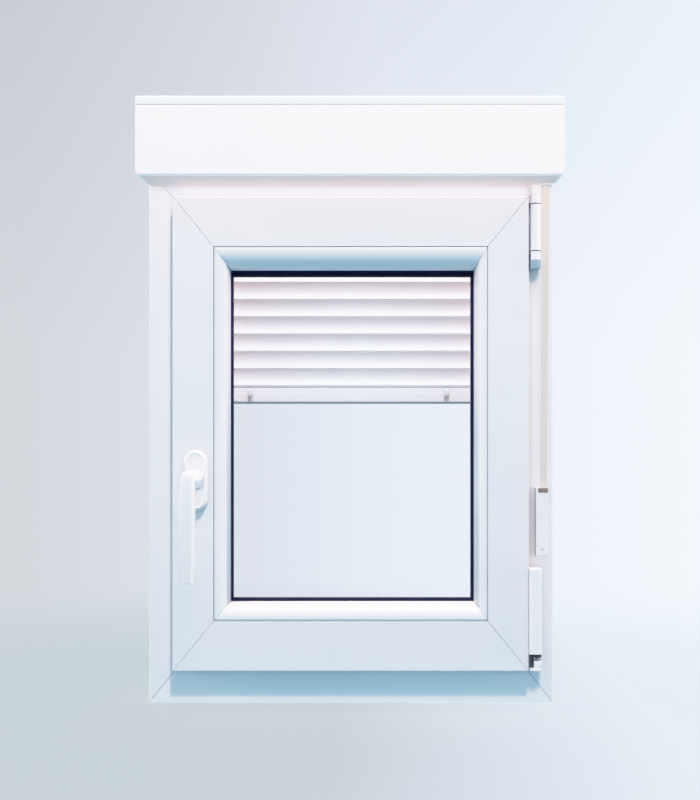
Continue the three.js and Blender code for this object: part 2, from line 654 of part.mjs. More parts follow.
function addGuides(parent) {
  const section = (side) => {
    const points = [
      [GUIDE_OUTER, GUIDE_FRONT], [GUIDE_OUTER, GUIDE_BACK], [GUIDE_INNER, GUIDE_BACK],
      [GUIDE_INNER, SLOT_BACK], [CURTAIN_HALF + 5, SLOT_BACK], [CURTAIN_HALF + 5, SLOT_FRONT],
      [GUIDE_INNER, SLOT_FRONT], [GUIDE_INNER, GUIDE_FRONT],
    ];
    return points.map(([x, y]) => [side * x, y]);
  };
  piece(parent, 'left_guide', barZ(section(-1), 2, FRAME_HEIGHT), PVC);
  piece(parent, 'right_guide', barZ(section(1), 2, FRAME_HEIGHT), PVC);
}

// ---------- strap drive ----------
function addStrapDrive(parent) {
  const turnZ = BOX_LOW + 9;
  const reach = STRAP_COIL + 1;
  const away = new THREE.Vector2(ROLL_Y - STRAP_Y, ROLL_Z - turnZ);
  const rise = away.angle() + Math.asin(reach / away.length());
  const run = Math.sqrt(away.lengthSq() - reach * reach);
  const route = [
    [STRAP_Y, DRUM_Z], [STRAP_Y, turnZ],
    [STRAP_Y + run * Math.cos(rise), turnZ + run * Math.sin(rise)],
  ];
  const half = STRAP_WIDTH / 2;
  const strap = barX(band(route, STRAP_THICKNESS), STRAP_TOP_X - half, STRAP_TOP_X + half);
  strap.applyMatrix4(new THREE.Matrix4().set(
    1, 0, STRAP_LEAN, -STRAP_LEAN * BOX_LOW, 0, 1, 0, 0, 0, 0, 1, 0, 0, 0, 0, 1));
  piece(parent, 'strap', strap, WEBBING);

  const outlet = cut(
    join(
      block(STRAP_TOP_X - 7, STRAP_TOP_X + 7, STRAP_Y - 6, STRAP_Y + 6, BOX_LOW - 0.5, BOX_LOW + 6),
      block(STRAP_TOP_X - 8.4, STRAP_TOP_X + 8.4, STRAP_Y - 8, STRAP_Y + 8, BOX_LOW - 1.6, BOX_LOW - GAP),
    ),
    block(STRAP_TOP_X - 5.4, STRAP_TOP_X + 5.4, STRAP_Y - 2.4, STRAP_Y + 2.4, BOX_LOW - 3, BOX_LOW + 8),
  );
  piece(parent, 'strap_outlet', outlet, LACQUER);

  const back = FRAME_FRONT - GAP;
  const wall = 1.8;
  const round = 3;
  const shell = [
    [WINDER_LEFT, WINDER_LOW + round], [WINDER_LEFT + round * 0.3, WINDER_LOW + round * 0.3],
    [WINDER_LEFT + round, WINDER_LOW], [WINDER_RIGHT - round, WINDER_LOW],
    [WINDER_RIGHT - round * 0.3, WINDER_LOW + round * 0.3], [WINDER_RIGHT, WINDER_LOW + round],
    [WINDER_RIGHT, WINDER_HIGH], [WINDER_LEFT, WINDER_HIGH],
  ];
  const tongueLeft = WINDER_LEFT + 2.9;
  const tongueRight = WINDER_RIGHT - 0.6;
  const thin = 1;
  const mouth = block(WINDER_LEFT + 2.8, WINDER_RIGHT - 1.1, STRAP_Y - 2.6, STRAP_Y + 2.4,
    WINDER_HIGH - 4, WINDER_HIGH + 1);
  const winder = cut(
    join(
      barY(shell, WINDER_FRONT, back),
      block(tongueLeft, tongueRight, back - 1, -22, DRUM_Z - 15.2, DRUM_Z + 15.2),
    ),
    block(tongueLeft + thin, tongueRight - thin, WINDER_FRONT + wall, -20,
      WINDER_LOW + wall, WINDER_HIGH - wall),
    mouth,
    barX(circle(DRUM_Y, DRUM_Z, 2.4, 16), WINDER_LEFT + 2, WINDER_RIGHT + 1),
  );
  piece(parent, 'winder_case', winder, LACQUER);

  const drum = groupAt(parent, 0, DRUM_Y, DRUM_Z);
  const drumLeft = tongueLeft + thin + GAP;
  const drumRight = tongueRight - thin - GAP;
  const coil = DRUM_Y - STRAP_Y - STRAP_THICKNESS / 2 - GAP;
  const spool = join(
    barX(circle(0, 0, coil + 1.4), drumLeft, drumLeft + 0.5),
    barX(circle(0, 0, coil), drumLeft + 0.4, drumRight - 0.4),
    barX(circle(0, 0, 2, 16), drumLeft - 1.2, drumRight + 1.2),
  );
  piece(drum, 'winder_drum', spool, WEBBING);
}

addFrame(windowUnit);
addSash(windowUnit);
addGlazing(windowUnit);
addHandle(windowUnit);
addStrikers(windowUnit);
addTopHinge(windowUnit);
addBottomHinge(windowUnit);
addBox(windowUnit);
addRoller(windowUnit);
addCurtain(windowUnit);
addGuides(windowUnit);
addStrapDrive(windowUnit);

export default windowUnit;
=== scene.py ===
"""A tilt-and-turn window with a strap-driven roller shutter in a box on its head."""

import json
import math

import bmesh
import bpy
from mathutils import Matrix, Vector

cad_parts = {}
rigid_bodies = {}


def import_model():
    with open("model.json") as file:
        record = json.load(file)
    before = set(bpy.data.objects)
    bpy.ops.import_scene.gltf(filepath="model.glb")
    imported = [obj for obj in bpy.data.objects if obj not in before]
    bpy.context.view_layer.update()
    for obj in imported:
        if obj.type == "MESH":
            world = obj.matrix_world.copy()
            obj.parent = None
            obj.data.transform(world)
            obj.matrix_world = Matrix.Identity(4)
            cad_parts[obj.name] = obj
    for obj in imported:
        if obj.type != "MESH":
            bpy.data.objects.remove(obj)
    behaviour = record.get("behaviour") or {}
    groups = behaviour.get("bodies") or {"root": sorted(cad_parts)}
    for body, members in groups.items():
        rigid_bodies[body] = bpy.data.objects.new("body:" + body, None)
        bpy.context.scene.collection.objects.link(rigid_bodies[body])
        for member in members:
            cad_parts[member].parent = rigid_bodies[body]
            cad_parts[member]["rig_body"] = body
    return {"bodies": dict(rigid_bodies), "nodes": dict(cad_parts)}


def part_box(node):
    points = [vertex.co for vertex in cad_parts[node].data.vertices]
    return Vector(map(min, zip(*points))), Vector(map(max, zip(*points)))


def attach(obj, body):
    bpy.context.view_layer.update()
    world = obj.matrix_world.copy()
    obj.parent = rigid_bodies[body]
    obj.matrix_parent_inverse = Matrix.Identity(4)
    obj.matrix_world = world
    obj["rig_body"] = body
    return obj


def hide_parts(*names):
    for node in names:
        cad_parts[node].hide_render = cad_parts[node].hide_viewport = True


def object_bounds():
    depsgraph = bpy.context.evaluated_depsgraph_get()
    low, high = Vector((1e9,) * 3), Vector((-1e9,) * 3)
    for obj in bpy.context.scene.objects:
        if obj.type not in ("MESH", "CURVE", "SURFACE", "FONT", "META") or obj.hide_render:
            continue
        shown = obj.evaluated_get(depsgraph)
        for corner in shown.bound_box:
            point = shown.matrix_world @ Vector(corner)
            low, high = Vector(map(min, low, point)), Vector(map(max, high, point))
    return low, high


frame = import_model()
cad_low, cad_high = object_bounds()
MM = 0.001

# ---------- places taken from the frame ----------
spindle_low, spindle_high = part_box("handle_spindle")
pin_low, pin_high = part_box("top_hinge_pin")
pivot_low, pivot_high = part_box("bottom_hinge_pivot")
bar_low, bar_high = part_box("bottom_bar")
strap_low, strap_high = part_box("strap")
outlet_low, outlet_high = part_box("strap_outlet")
winder_low, winder_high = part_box("winder_case")
guide_low, guide_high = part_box("left_guide")
sill_low, sill_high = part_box("frame_sill")

SASH_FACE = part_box("sash_bottom_rail")[0].y
FRAME_FACE = sill_low.y
HANDLE_AXIS = (spindle_low + spindle_high) / 2
HINGE_AXIS = (pin_low + pin_high) / 2
PIVOT = (pivot_low + pivot_high) / 2
CURTAIN_HALF = bar_high.x
SLAT_COUNT = 7
SLAT_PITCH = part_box("slat_2")[0].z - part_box("slat_1")[0].z

# ---------- camera ----------
CAMERA_X = 28.7 * MM
CAMERA_Z = 357.6 * MM
CAMERA_DISTANCE = 1.9
CAMERA_LENS = 62.8
CAMERA_SHIFT = (-0.0275, 0.05)
SENSOR_WIDTH = 36.0


def make_camera():
    """A camera square to the window, from the room."""
    data = bpy.data.cameras.new("camera")
    data.lens = CAMERA_LENS
    data.sensor_width = SENSOR_WIDTH
    data.shift_x, data.shift_y = CAMERA_SHIFT
    camera = bpy.data.objects.new("camera", data)
    camera.location = (CAMERA_X, FRAME_FACE - CAMERA_DISTANCE, CAMERA_Z)
    camera.rotation_euler = (math.radians(90), 0, 0)
    bpy.context.scene.collection.objects.link(camera)
    bpy.context.scene.camera = camera


make_camera()


# ---------- materials ----------
class Shader:
    """A node material with one Principled surface, and short calls for what feeds it.

    Scales count repeats per metre, in the object's own coordinates.
    """

    def __init__(self, name):
        self.material = bpy.data.materials.new(name)
        self.material.use_nodes = True
        self.nodes = self.material.node_tree.nodes
        self.links = self.material.node_tree.links
        self.surface = self.nodes["Principled BSDF"]
        self.place = self.nodes.new("ShaderNodeTexCoord").outputs["Object"]

    def stretched(self, scale):
        mapping = self.nodes.new("ShaderNodeMapping")
        mapping.inputs["Scale"].default_value = scale
        self.links.new(self.place, mapping.inputs["Vector"])
        return mapping.outputs["Vector"]

    def noise(self, scale, detail=2.0, vector=None):
        node = self.nodes.new("ShaderNodeTexNoise")
        node.inputs["Scale"].default_value = scale
        node.inputs["Detail"].default_value = detail
        self.links.new(vector or self.place, node.inputs["Vector"])
        return node.outputs["Fac"]

    def wave(self, scale, vector, direction="X", distortion=0.0):
        node = self.nodes.new("ShaderNodeTexWave")
        node.bands_direction = direction
        node.inputs["Scale"].default_value = scale
        node.inputs["Distortion"].default_value = distortion
        self.links.new(vector, node.inputs["Vector"])
        return node.outputs["Fac"]

    def ramp(self, factor, low, high, start=0.35, end=0.65):
        node = self.nodes.new("ShaderNodeValToRGB")
        node.color_ramp.elements[0].position = start
        node.color_ramp.elements[1].position = end
        node.color_ramp.elements[0].color = (*low, 1)
        node.color_ramp.elements[1].color = (*high, 1)
        self.links.new(factor, node.inputs["Fac"])
        return node.outputs["Color"]

    def between(self, factor, low, high):
        node = self.nodes.new("ShaderNodeMapRange")
        node.inputs["To Min"].default_value = low
        node.inputs["To Max"].default_value = high
        self.links.new(factor, node.inputs["Value"])
        return node.outputs["Result"]

    def blend(self, factor, colour, shade_tint):
        node = self.nodes.new("ShaderNodeMix")
        node.data_type = "RGBA"
        sockets = {socket.name: socket for socket in node.inputs if socket.enabled}
        self.links.new(factor, sockets["Factor"])
        self.links.new(colour, sockets["A"])
        sockets["B"].default_value = (*shade_tint, 1)
        return next(socket for socket in node.outputs if socket.name == "Result" and socket.enabled)

    def add(self, first, second, weight=1.0):
        node = self.nodes.new("ShaderNodeMath")
        node.operation = "MULTIPLY_ADD"
        node.inputs[1].default_value = weight
        self.links.new(second, node.inputs[0])
        self.links.new(first, node.inputs[2])
        return node.outputs["Value"]

    def colour(self, socket):
        self.links.new(socket, self.surface.inputs["Base Color"])

    def roughness(self, socket):
        self.links.new(socket, self.surface.inputs["Roughness"])

    def bump(self, height, distance, strength=0.3):
        node = self.nodes.new("ShaderNodeBump")
        node.inputs["Strength"].default_value = strength
        node.inputs["Distance"].default_value = distance
        self.links.new(height, node.inputs["Height"])
        self.links.new(node.outputs["Normal"], self.surface.inputs["Normal"])

    def painted_hollow_shade(self, colour, shade_tint, reach, amount):
        """Painted shade: darkens the colour where the surface is closed in, standing in for the shade and
        cool bounce light there.
        """
        node = self.nodes.new("ShaderNodeAmbientOcclusion")
        node.samples = 8
        node.inputs["Distance"].default_value = reach
        shade = self.between(node.outputs["AO"], amount, 0.0)
        return self.blend(shade, colour, shade_tint)


# Reach of the painted shade where surfaces are closed in, and the bluish colour that moulded parts darken to
# there.
PROFILE_SHADE_REACH = 11 * MM
COAT_SHADE_REACH = 12 * MM
COAT_SHADE_TINT = (0.45, 0.62, 0.72)


def extruded_plastic(name, light, dark, along, rough=0.34, shade_tint=(0.47, 0.51, 0.54), depth=0.8):
    """White extruded plastic: faint die lines along its length, a fine skin and soft cloudy variation, with
    painted shade where it is closed in.
    """
    shader = Shader(name)
    scale = [1.0, 1.0, 1.0]
    scale["XYZ".index(along)] = 0.006
    lines = shader.noise(900, 3.0, shader.stretched(scale))
    clouds = shader.noise(14, 3.0)
    skin = shader.noise(2600, 2.0)
    mixed = shader.add(clouds, lines, 0.35)
    base = shader.ramp(mixed, dark, light, 0.35, 0.95)
    # Painted shade: darker where the profile is closed in; depth sets how dark.
    shader.colour(shader.painted_hollow_shade(base, shade_tint, PROFILE_SHADE_REACH, depth))
    shader.roughness(shader.between(shader.add(clouds, skin, 0.5), rough - 0.07, rough + 0.1))
    shader.bump(shader.add(lines, skin, 0.6), 0.00006, 0.22)
    shader.surface.inputs["Specular IOR Level"].default_value = 0.45
    return shader.material


def moulded(name, light, dark, rough, grain=1500, depth=0.00005):
    """Lacquer or moulded plastic with a fine orange peel, and painted bluish shade where it is closed in."""
    shader = Shader(name)
    clouds = shader.noise(30, 2.0)
    peel = shader.noise(grain, 2.0)
    base = shader.ramp(clouds, dark, light, 0.3, 0.7)
    shader.colour(shader.painted_hollow_shade(base, COAT_SHADE_TINT, COAT_SHADE_REACH, 0.5))
    shader.roughness(shader.between(shader.add(clouds, peel, 0.4), rough - 0.05, rough + 0.09))
    shader.bump(peel, depth, 0.25)
    shader.surface.inputs["Coat Weight"].default_value = 0.25
    shader.surface.inputs["Coat Roughness"].default_value = 0.12
    return shader.material


def rubber(name, light, dark):
    """Dull rubber, foam or brush pile with a fine grain."""
    shader = Shader(name)
    grain = shader.noise(1800, 3.0)
    shader.colour(shader.ramp(grain, dark, light, 0.3, 0.75))
    shader.roughness(shader.between(grain, 0.55, 0.8))
    shader.bump(grain, 0.00008, 0.4)
    shader.surface.inputs["Specular IOR Level"].default_value = 0.2
    return shader.material


def brushed(name, light, dark, rough):
    """Plated steel with upright brush marks and small dull patches."""
    shader = Shader(name)
    marks = shader.noise(1400, 4.0, shader.stretched((1, 1, 0.02)))
    patches = shader.noise(120, 3.0)
    shader.colour(shader.ramp(shader.add(patches, marks, 0.5), dark, light, 0.45, 1.05))
    shader.roughness(shader.between(marks, rough - 0.08, rough + 0.16))
    shader.bump(marks, 0.00003, 0.3)
    shader.surface.inputs["Metallic"].default_value = 0.9
    return shader.material


def woven(name, light, dark):
    """Flat woven strap: cross ribs, warp threads and a little fuzz in its colour."""
    shader = Shader(name)
    fine = shader.stretched((1, 0.2, 1))
    threads = shader.wave(420, fine, "X", 0.6)
    picks = shader.wave(330, fine, "Z", 0.4)
    fuzz = shader.noise(1100, 4.0)
    height = shader.add(shader.add(threads, picks, 0.8), fuzz, 0.6)
    shader.colour(shader.ramp(height, dark, light, 0.5, 1.7))
    shader.roughness(shader.between(fuzz, 0.75, 0.95))
    shader.bump(height, 0.00015, 0.6)
    shader.surface.inputs["Sheen Weight"].default_value = 0.3
    return shader.material


def clear_glass(name):
    """Float glass as a clear film with a mirror glint at grazing angles, faintly uneven."""
    shader = Shader(name)
    shader.nodes.remove(shader.surface)
    clear = shader.nodes.new("ShaderNodeBsdfTransparent")
    clear.inputs["Color"].default_value = (0.995, 0.998, 1.0, 1)
    glint = shader.nodes.new("ShaderNodeBsdfGlossy")
    glint.inputs["Roughness"].default_value = 0.03
    ripple = shader.nodes.new("ShaderNodeBump")
    ripple.inputs["Strength"].default_value = 0.05
    ripple.inputs["Distance"].default_value = 0.0002
    shader.links.new(shader.noise(9, 1.0), ripple.inputs["Height"])
    shader.links.new(ripple.outputs["Normal"], glint.inputs["Normal"])
    fresnel = shader.nodes.new("ShaderNodeFresnel")
    fresnel.inputs["IOR"].default_value = 1.12
    mix = shader.nodes.new("ShaderNodeMixShader")
    shader.links.new(fresnel.outputs["Fac"], mix.inputs[0])
    shader.links.new(clear.outputs["BSDF"], mix.inputs[1])
    shader.links.new(glint.outputs["BSDF"], mix.inputs[2])
    output = shader.nodes["Material Output"]
    shader.links.new(mix.outputs["Shader"], output.inputs["Surface"])
    return shader.material


WHITE = (0.875, 0.885, 0.905)
WHITE_DARK = (0.835, 0.848, 0.875)
MATERIALS = {
    "pvc_upright": extruded_plastic("pvc_upright", WHITE, WHITE_DARK, "Z"),
    "pvc_level": extruded_plastic("pvc_level", WHITE, WHITE_DARK, "X"),
    # A bluer copy of the white plastic for the frame head: painted cool shade under the box.
    "pvc_head": extruded_plastic("pvc_head", (0.765, 0.865, 0.975), (0.73, 0.83, 0.945), "X"),
    "bead_upright": extruded_plastic("bead_upright", (0.875, 0.89, 0.92), (0.84, 0.86, 0.89), "Z", 0.3),
    "bead_level": extruded_plastic("bead_level", (0.875, 0.895, 0.925), (0.84, 0.865, 0.895), "X", 0.3),
    "box": extruded_plastic("box_pvc", (0.915, 0.93, 0.95), (0.89, 0.905, 0.93), "X", 0.38),
    # A darker, bluer copy of the box plastic for the box's top cover: painted shade on the top that the key
    # light strikes.
    "lid_painted_shade": extruded_plastic("lid_pvc", (0.83, 0.89, 0.94), (0.80, 0.86, 0.915), "X", 0.38),
    # Darker pinkish plastic: on the box's underside its tone is painted shade; the buffer feet take it as
    # their own beige.
    "beige_and_painted_shade": extruded_plastic("warm_pvc", (0.73, 0.69, 0.675), (0.70, 0.66, 0.645), "X", 0.5,
                             shade_tint=(0.6, 0.55, 0.54)),
    "seal": rubber("seal_rubber", (0.010, 0.010, 0.085), (0.005, 0.005, 0.05)),
    "spacer": rubber("spacer_foam", (0.008, 0.009, 0.062), (0.003, 0.004, 0.032)),
    "glass": clear_glass("float_glass"),
    "lacquer": moulded("white_lacquer", (0.95, 0.94, 0.94), (0.92, 0.915, 0.92), 0.26),
    "plastic": moulded("white_plastic", (0.94, 0.915, 0.90), (0.91, 0.885, 0.87), 0.36, 1100, 0.00008),
    "steel": brushed("zinc_steel", (0.62, 0.63, 0.66), (0.42, 0.43, 0.46), 0.34),
    "dark_steel": brushed("dark_steel", (0.12, 0.13, 0.16), (0.03, 0.035, 0.05), 0.38),
    # The slat paint darkens to pink where it is closed in: painted shade under each slat's bead.
    "slat": extruded_plastic("slat_paint", (0.90, 0.885, 0.895), (0.865, 0.85, 0.865), "X", 0.36,
                             shade_tint=(0.76, 0.62, 0.60), depth=0.5),
    "webbing": woven("strap_webbing", (0.85, 0.785, 0.72), (0.62, 0.56, 0.51)),
    # Grey plastic whose tone is painted shade, on the winder screw's head and the ridge along the winder's
    # lower edge.
    "recess": moulded("recess_plastic", (0.52, 0.49, 0.49), (0.46, 0.43, 0.43), 0.5),
    # Blue-grey plastic whose tone is painted shade, on the top hinge's end cap and the seal under the bottom
    # bar.
    "cap": moulded("cap_plastic", (0.37, 0.51, 0.58), (0.31, 0.45, 0.52), 0.4),
    "dark_mouth": rubber("mouth_liner", (0.30, 0.26, 0.23), (0.18, 0.15, 0.13)),
    "pile": rubber("brush_pile", (0.10, 0.105, 0.12), (0.03, 0.032, 0.04)),
}

NODE_MATERIALS = {
    "pvc_upright": ["frame_left_jamb", "frame_right_jamb", "sash_left_stile", "sash_right_stile",
                    "left_guide", "right_guide"],
    # Painted cool shade: the frame head takes the bluer copy of the white plastic.
    "pvc_head": ["frame_head"],
    "pvc_level": ["frame_sill", "sash_top_rail", "sash_bottom_rail", "box_floor"],
    "bead_upright": ["bead_left", "bead_right"],
    "bead_level": ["bead_top", "bead_bottom"],
    # Painted shade: the box's top cover takes the darker copy of the box plastic.
    "lid_painted_shade": ["box_lid"],
    "box": ["box_front_cover", "box_outer_panel", "box_left_end", "box_right_end"],
    # The box underside's darker pinkish tone is painted shade under the box.
    "beige_and_painted_shade": ["box_underside"],
    "seal": ["frame_seal", "glazing_gasket"],
    "spacer": ["glass_spacer"],
    "glass": ["inner_pane", "outer_pane"],
    "lacquer": ["handle_rosette", "handle_lever", "top_hinge_bracket", "stay_arm", "bottom_hinge_cover",
                "bottom_hinge_bearing"],
    "plastic": ["left_stop", "right_stop", "strap_pulley", "strap_outlet", "winder_case"],
    "steel": ["handle_spindle", "lock_gearbox", "lock_rod", "striker_upper", "striker_lower", "top_hinge_pin",
              "bottom_hinge_leaf", "roller_tube"],
    "dark_steel": ["bottom_hinge_pivot", "idle_end_plug", "idle_bearing"],
    "slat": ["bottom_bar", "upper_slats", "wound_slats"] + [f"slat_{i + 1}" for i in range(SLAT_COUNT)],
    "webbing": ["strap", "winder_drum"],
}

WELD_DISTANCE = 0.02 * MM
BEVEL_ANGLE = math.radians(38)
# Edge radius of the carried-over nodes, in millimetres. Nodes not listed keep their edges.
EDGE_RADII = {
    0.45: ["frame_head", "frame_sill", "frame_left_jamb", "frame_right_jamb", "sash_top_rail",
           "sash_bottom_rail", "sash_left_stile", "sash_right_stile", "left_guide", "right_guide"],
    0.8: ["box_front_cover", "box_lid", "box_outer_panel", "box_left_end", "box_right_end",
          "top_hinge_bracket"],
    0.3: ["box_underside", "box_floor", "strap_outlet", "bottom_hinge_bearing", "striker_upper",
          "striker_lower", "stay_arm", "bottom_hinge_leaf", "lock_rod", "strap_pulley", "idle_bearing",
          "upper_slats"],
    0.12: ["inner_pane", "outer_pane", "glazing_gasket", "frame_seal", "handle_spindle", "lock_gearbox",
           "top_hinge_pin", "roller_tube", "idle_end_plug", "wound_slats", "winder_drum"],
    1.6: ["winder_case"],
}


def shade(mesh, angle):
    """Smooth faces, with edges sharper than the angle kept sharp."""
    mesh.polygons.foreach_set("use_smooth", [True] * len(mesh.polygons))
    mesh.set_sharp_from_angle(angle=math.radians(angle))


def dress_nodes():
    """Gives every CAD node its material, and rounds the edges that the frame keeps sharp."""
    for key, names in NODE_MATERIALS.items():
        for name in names:
            node = frame["nodes"][name]
            node.data.materials.clear()
            node.data.materials.append(MATERIALS[key])
            if "custom_normal" in node.data.attributes:
                node.data.attributes.remove(node.data.attributes["custom_normal"])
            node.data.polygons.foreach_set("use_smooth", [True] * len(node.data.polygons))
            weld = node.modifiers.new("weld", "WELD")
            weld.merge_threshold = WELD_DISTANCE
    for radius, names in EDGE_RADII.items():
        for name in names:
            node = frame["nodes"][name]
            bevel = node.modifiers.new("edges", "BEVEL")
            bevel.width = radius * MM
            bevel.segments = 2
            bevel.limit_method = "ANGLE"
            bevel.angle_limit = BEVEL_ANGLE
            even = node.modifiers.new("even", "WEIGHTED_NORMAL")
            even.keep_sharp = True


# ---------- mesh helpers ----------
def new_piece(name, body, material, vertices, faces, replaces=(), angle=35):
    """A mesh piece that rides a body and the CAD nodes that it stands in for."""
    mesh = bpy.data.meshes.new(name)
    mesh.from_pydata([tuple(v) for v in vertices], [], faces)
    mesh.validate()
    work = bmesh.new()
    work.from_mesh(mesh)
    bmesh.ops.remove_doubles(work, verts=work.verts, dist=1e-7)
    bmesh.ops.recalc_face_normals(work, faces=work.faces)
    work.to_mesh(mesh)
    work.free()
    shade(mesh, angle)
    mesh.materials.append(MATERIALS[material])
    piece = bpy.data.objects.new(name, mesh)
    bpy.context.scene.collection.objects.link(piece)
    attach(piece, body)
    for node in replaces:
        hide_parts(node)
    return piece


def loft(loops, closed_ends=True):
    """Vertices and faces of a skin over loops that all have the same number of points."""
    count = len(loops[0])
    vertices = [point for loop in loops for point in loop]
    faces = []
    for row in range(len(loops) - 1):
        for i in range(count):
            j = (i + 1) % count
            a, b = row * count, (row + 1) * count
            faces.append((a + i, a + j, b + j, b + i))
    if closed_ends:
        faces.append(tuple(range(count))[::-1])
        last = (len(loops) - 1) * count
        faces.append(tuple(range(last, last + count)))
    return vertices, faces


def along_x(section, x0, x1):
    """A section of (y, z) points drawn along X."""
    return loft([[Vector((x, y, z)) for y, z in section] for x in (x0, x1)])


def lathe(profile, centre, axis="Z", sides=48):
    """A profile of (radius, height) points in millimetres, turned round an axis through centre."""
    loops = []
    for i in range(sides):
        angle = 2 * math.pi * i / sides
        loop = []
        for radius, height in profile:
            a, b = radius * math.cos(angle), radius * math.sin(angle)
            offset = {"Z": (a, b, height), "Y": (b, height, a)}[axis]
            loop.append(Vector(centre) + Vector(offset) * MM)
        loops.append(loop)
    return loft(loops + [loops[0]], closed_ends=False)


def arc(centre, radius, start, end, steps):
    """Points of a round stretch, in degrees."""
    points = []
    for i in range(steps + 1):
        angle = math.radians(start + (end - start) * i / steps)
        points.append((centre[0] + radius * math.cos(angle), centre[1] + radius * math.sin(angle)))
    return points


def rounded_stadium(half_width, half_height, inset, steps):
    """Outline of an upright slot shape, as (x, z) points."""
    radius = half_width - inset
    straight = half_height - half_width
    top = [(x, z + straight) for x, z in arc((0, 0), radius, 0, 180, steps)]
    bottom = [(x, z - straight) for x, z in arc((0, 0), radius, 180, 360, steps)]
    return top + bottom


def stadium_stack(stages, half_width, half_height, place, steps=20):
    """A skin through slot-shaped outlines: stages are (height, inset) in millimetres, set down by place."""
    loops = []
    for height, inset in stages:
        outline = rounded_stadium(half_width * MM, half_height * MM, inset * MM, steps)
        loops.append([place(a, b, height * MM) for a, b in outline])
    return loft(loops)


# ---------- glazing ----------
def bead_outline():
    """Shares of width and depth round one bead: a quarter ellipse from the glass up to a flat by the sash."""
    flat = 0.13
    points = [(0.0, 1.0), (1.0, 1.0)]
    points += [(flat + (1 - flat) * a, 0.95 * (1 - b)) for a, b in arc((0, 0), 1.0, 0, 90, 22)]
    return points + [(0.05, 0.006), (0.015, 0.03), (0.0, 0.08)]


def make_beads():
    """Rounded glazing beads with mitred ends and a hairline groove along the sash face."""
    sides = {side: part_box(f"bead_{side}") for side in ("left", "right", "bottom", "top")}
    groove_cut = 0.12 * MM
    x0, x1 = sides["left"][0].x - groove_cut, sides["right"][1].x + groove_cut
    z0, z1 = sides["bottom"][0].z - groove_cut, sides["top"][1].z + groove_cut
    wide = {side: high.x - low.x for side, (low, high) in sides.items()}
    tall = {side: high.z - low.z for side, (low, high) in sides.items()}
    mitre_gap = 0.2 * MM
    for side, (low, high) in sides.items():
        loops = []
        for end in (0, 1):
            loop = []
            for inwards, depth in bead_outline():
                y = low.y + depth * (high.y - low.y)
                left, right = x0 + inwards * wide["left"], x1 - inwards * wide["right"]
                bottom, top = z0 + inwards * tall["bottom"], z1 - inwards * tall["top"]
                if side in ("top", "bottom"):
                    x = right - mitre_gap if end else left + mitre_gap
                    loop.append(Vector((x, y, top if side == "top" else bottom)))
                else:
                    z = top - mitre_gap if end else bottom + mitre_gap
                    loop.append(Vector((left if side == "left" else right, y, z)))
            loops.append(loop)
        vertices, faces = loft(loops)
        material = "bead_level" if side in ("top", "bottom") else "bead_upright"
        new_piece(f"glazing_bead_{side}", "sash", material, vertices, faces, [f"bead_{side}"], 50)


# How far the spacer shows inside the bead on each side, in millimetres. The wide dark strip at the top also
# paints the shade under the top bead.
SPACER_SIGHT_AND_TOP_SHADE = {"left": 1.8, "right": 2.8, "top": 6.8, "bottom": 2.9}


def make_spacer():
    """The bar between the panes: a ring with chamfered corners towards the air gap."""
    low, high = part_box("glass_spacer")
    inner_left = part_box("bead_left")[1].x + SPACER_SIGHT_AND_TOP_SHADE["left"] * MM
    inner_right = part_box("bead_right")[0].x - SPACER_SIGHT_AND_TOP_SHADE["right"] * MM
    inner_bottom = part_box("bead_bottom")[1].z + SPACER_SIGHT_AND_TOP_SHADE["bottom"] * MM
    inner_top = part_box("bead_top")[0].z - SPACER_SIGHT_AND_TOP_SHADE["top"] * MM
    chamfer = 1.2 * MM
    section = [(0.0, low.y), (0.0, high.y), (0.93, high.y), (1.0, high.y - chamfer), (1.0, low.y + chamfer),
               (0.93, low.y)]
    loops = []
    for share, y in section:
        left, right = low.x + share * (inner_left - low.x), high.x + share * (inner_right - high.x)
        bottom, top = low.z + share * (inner_bottom - low.z), high.z + share * (inner_top - high.z)
        corners = ((left, bottom), (right, bottom), (right, top), (left, top))
        loops.append([Vector((x, y, z)) for x, z in corners])
    vertices, faces = loft(loops + [loops[0]], closed_ends=False)
    new_piece("spacer_bar", "sash", "spacer", vertices, faces, ["glass_spacer"], 30)


# ---------- curtain ----------
def slat_section():
    """One slat, hollow towards the room, with a round bead along its lower edge and a hook at its top."""
    pitch = SLAT_PITCH / MM
    steps = 16
    room_bow, outdoor_bow = 3.0, 2.9
    lower_bead = arc((1.35, 1.5), 1.3, 285, 115, 10)
    room_side = []
    outdoor_side = []
    for i in range(steps + 1):
        share = i / steps
        bow = room_bow * math.sin(math.pi * share) ** 0.9
        if i > 0:
            room_side.append((0.9 + 0.5 * share + bow, 2.7 + (pitch - 3.6) * share))
        share = 1 - share
        bow = outdoor_bow * math.sin(math.pi * share)
        outdoor_side.append((4.4 + bow, 0.25 + (pitch - 0.7) * share))
    hook = [(3.0, pitch - 0.7), (3.2, pitch - 0.5)]
    return lower_bead + room_side + hook + outdoor_side


def placed(section, corner):
    """A (y, z) section in millimetres, measured from a corner of the frame's box."""
    return [(corner.y + a * MM, corner.z + b * MM) for a, b in section]


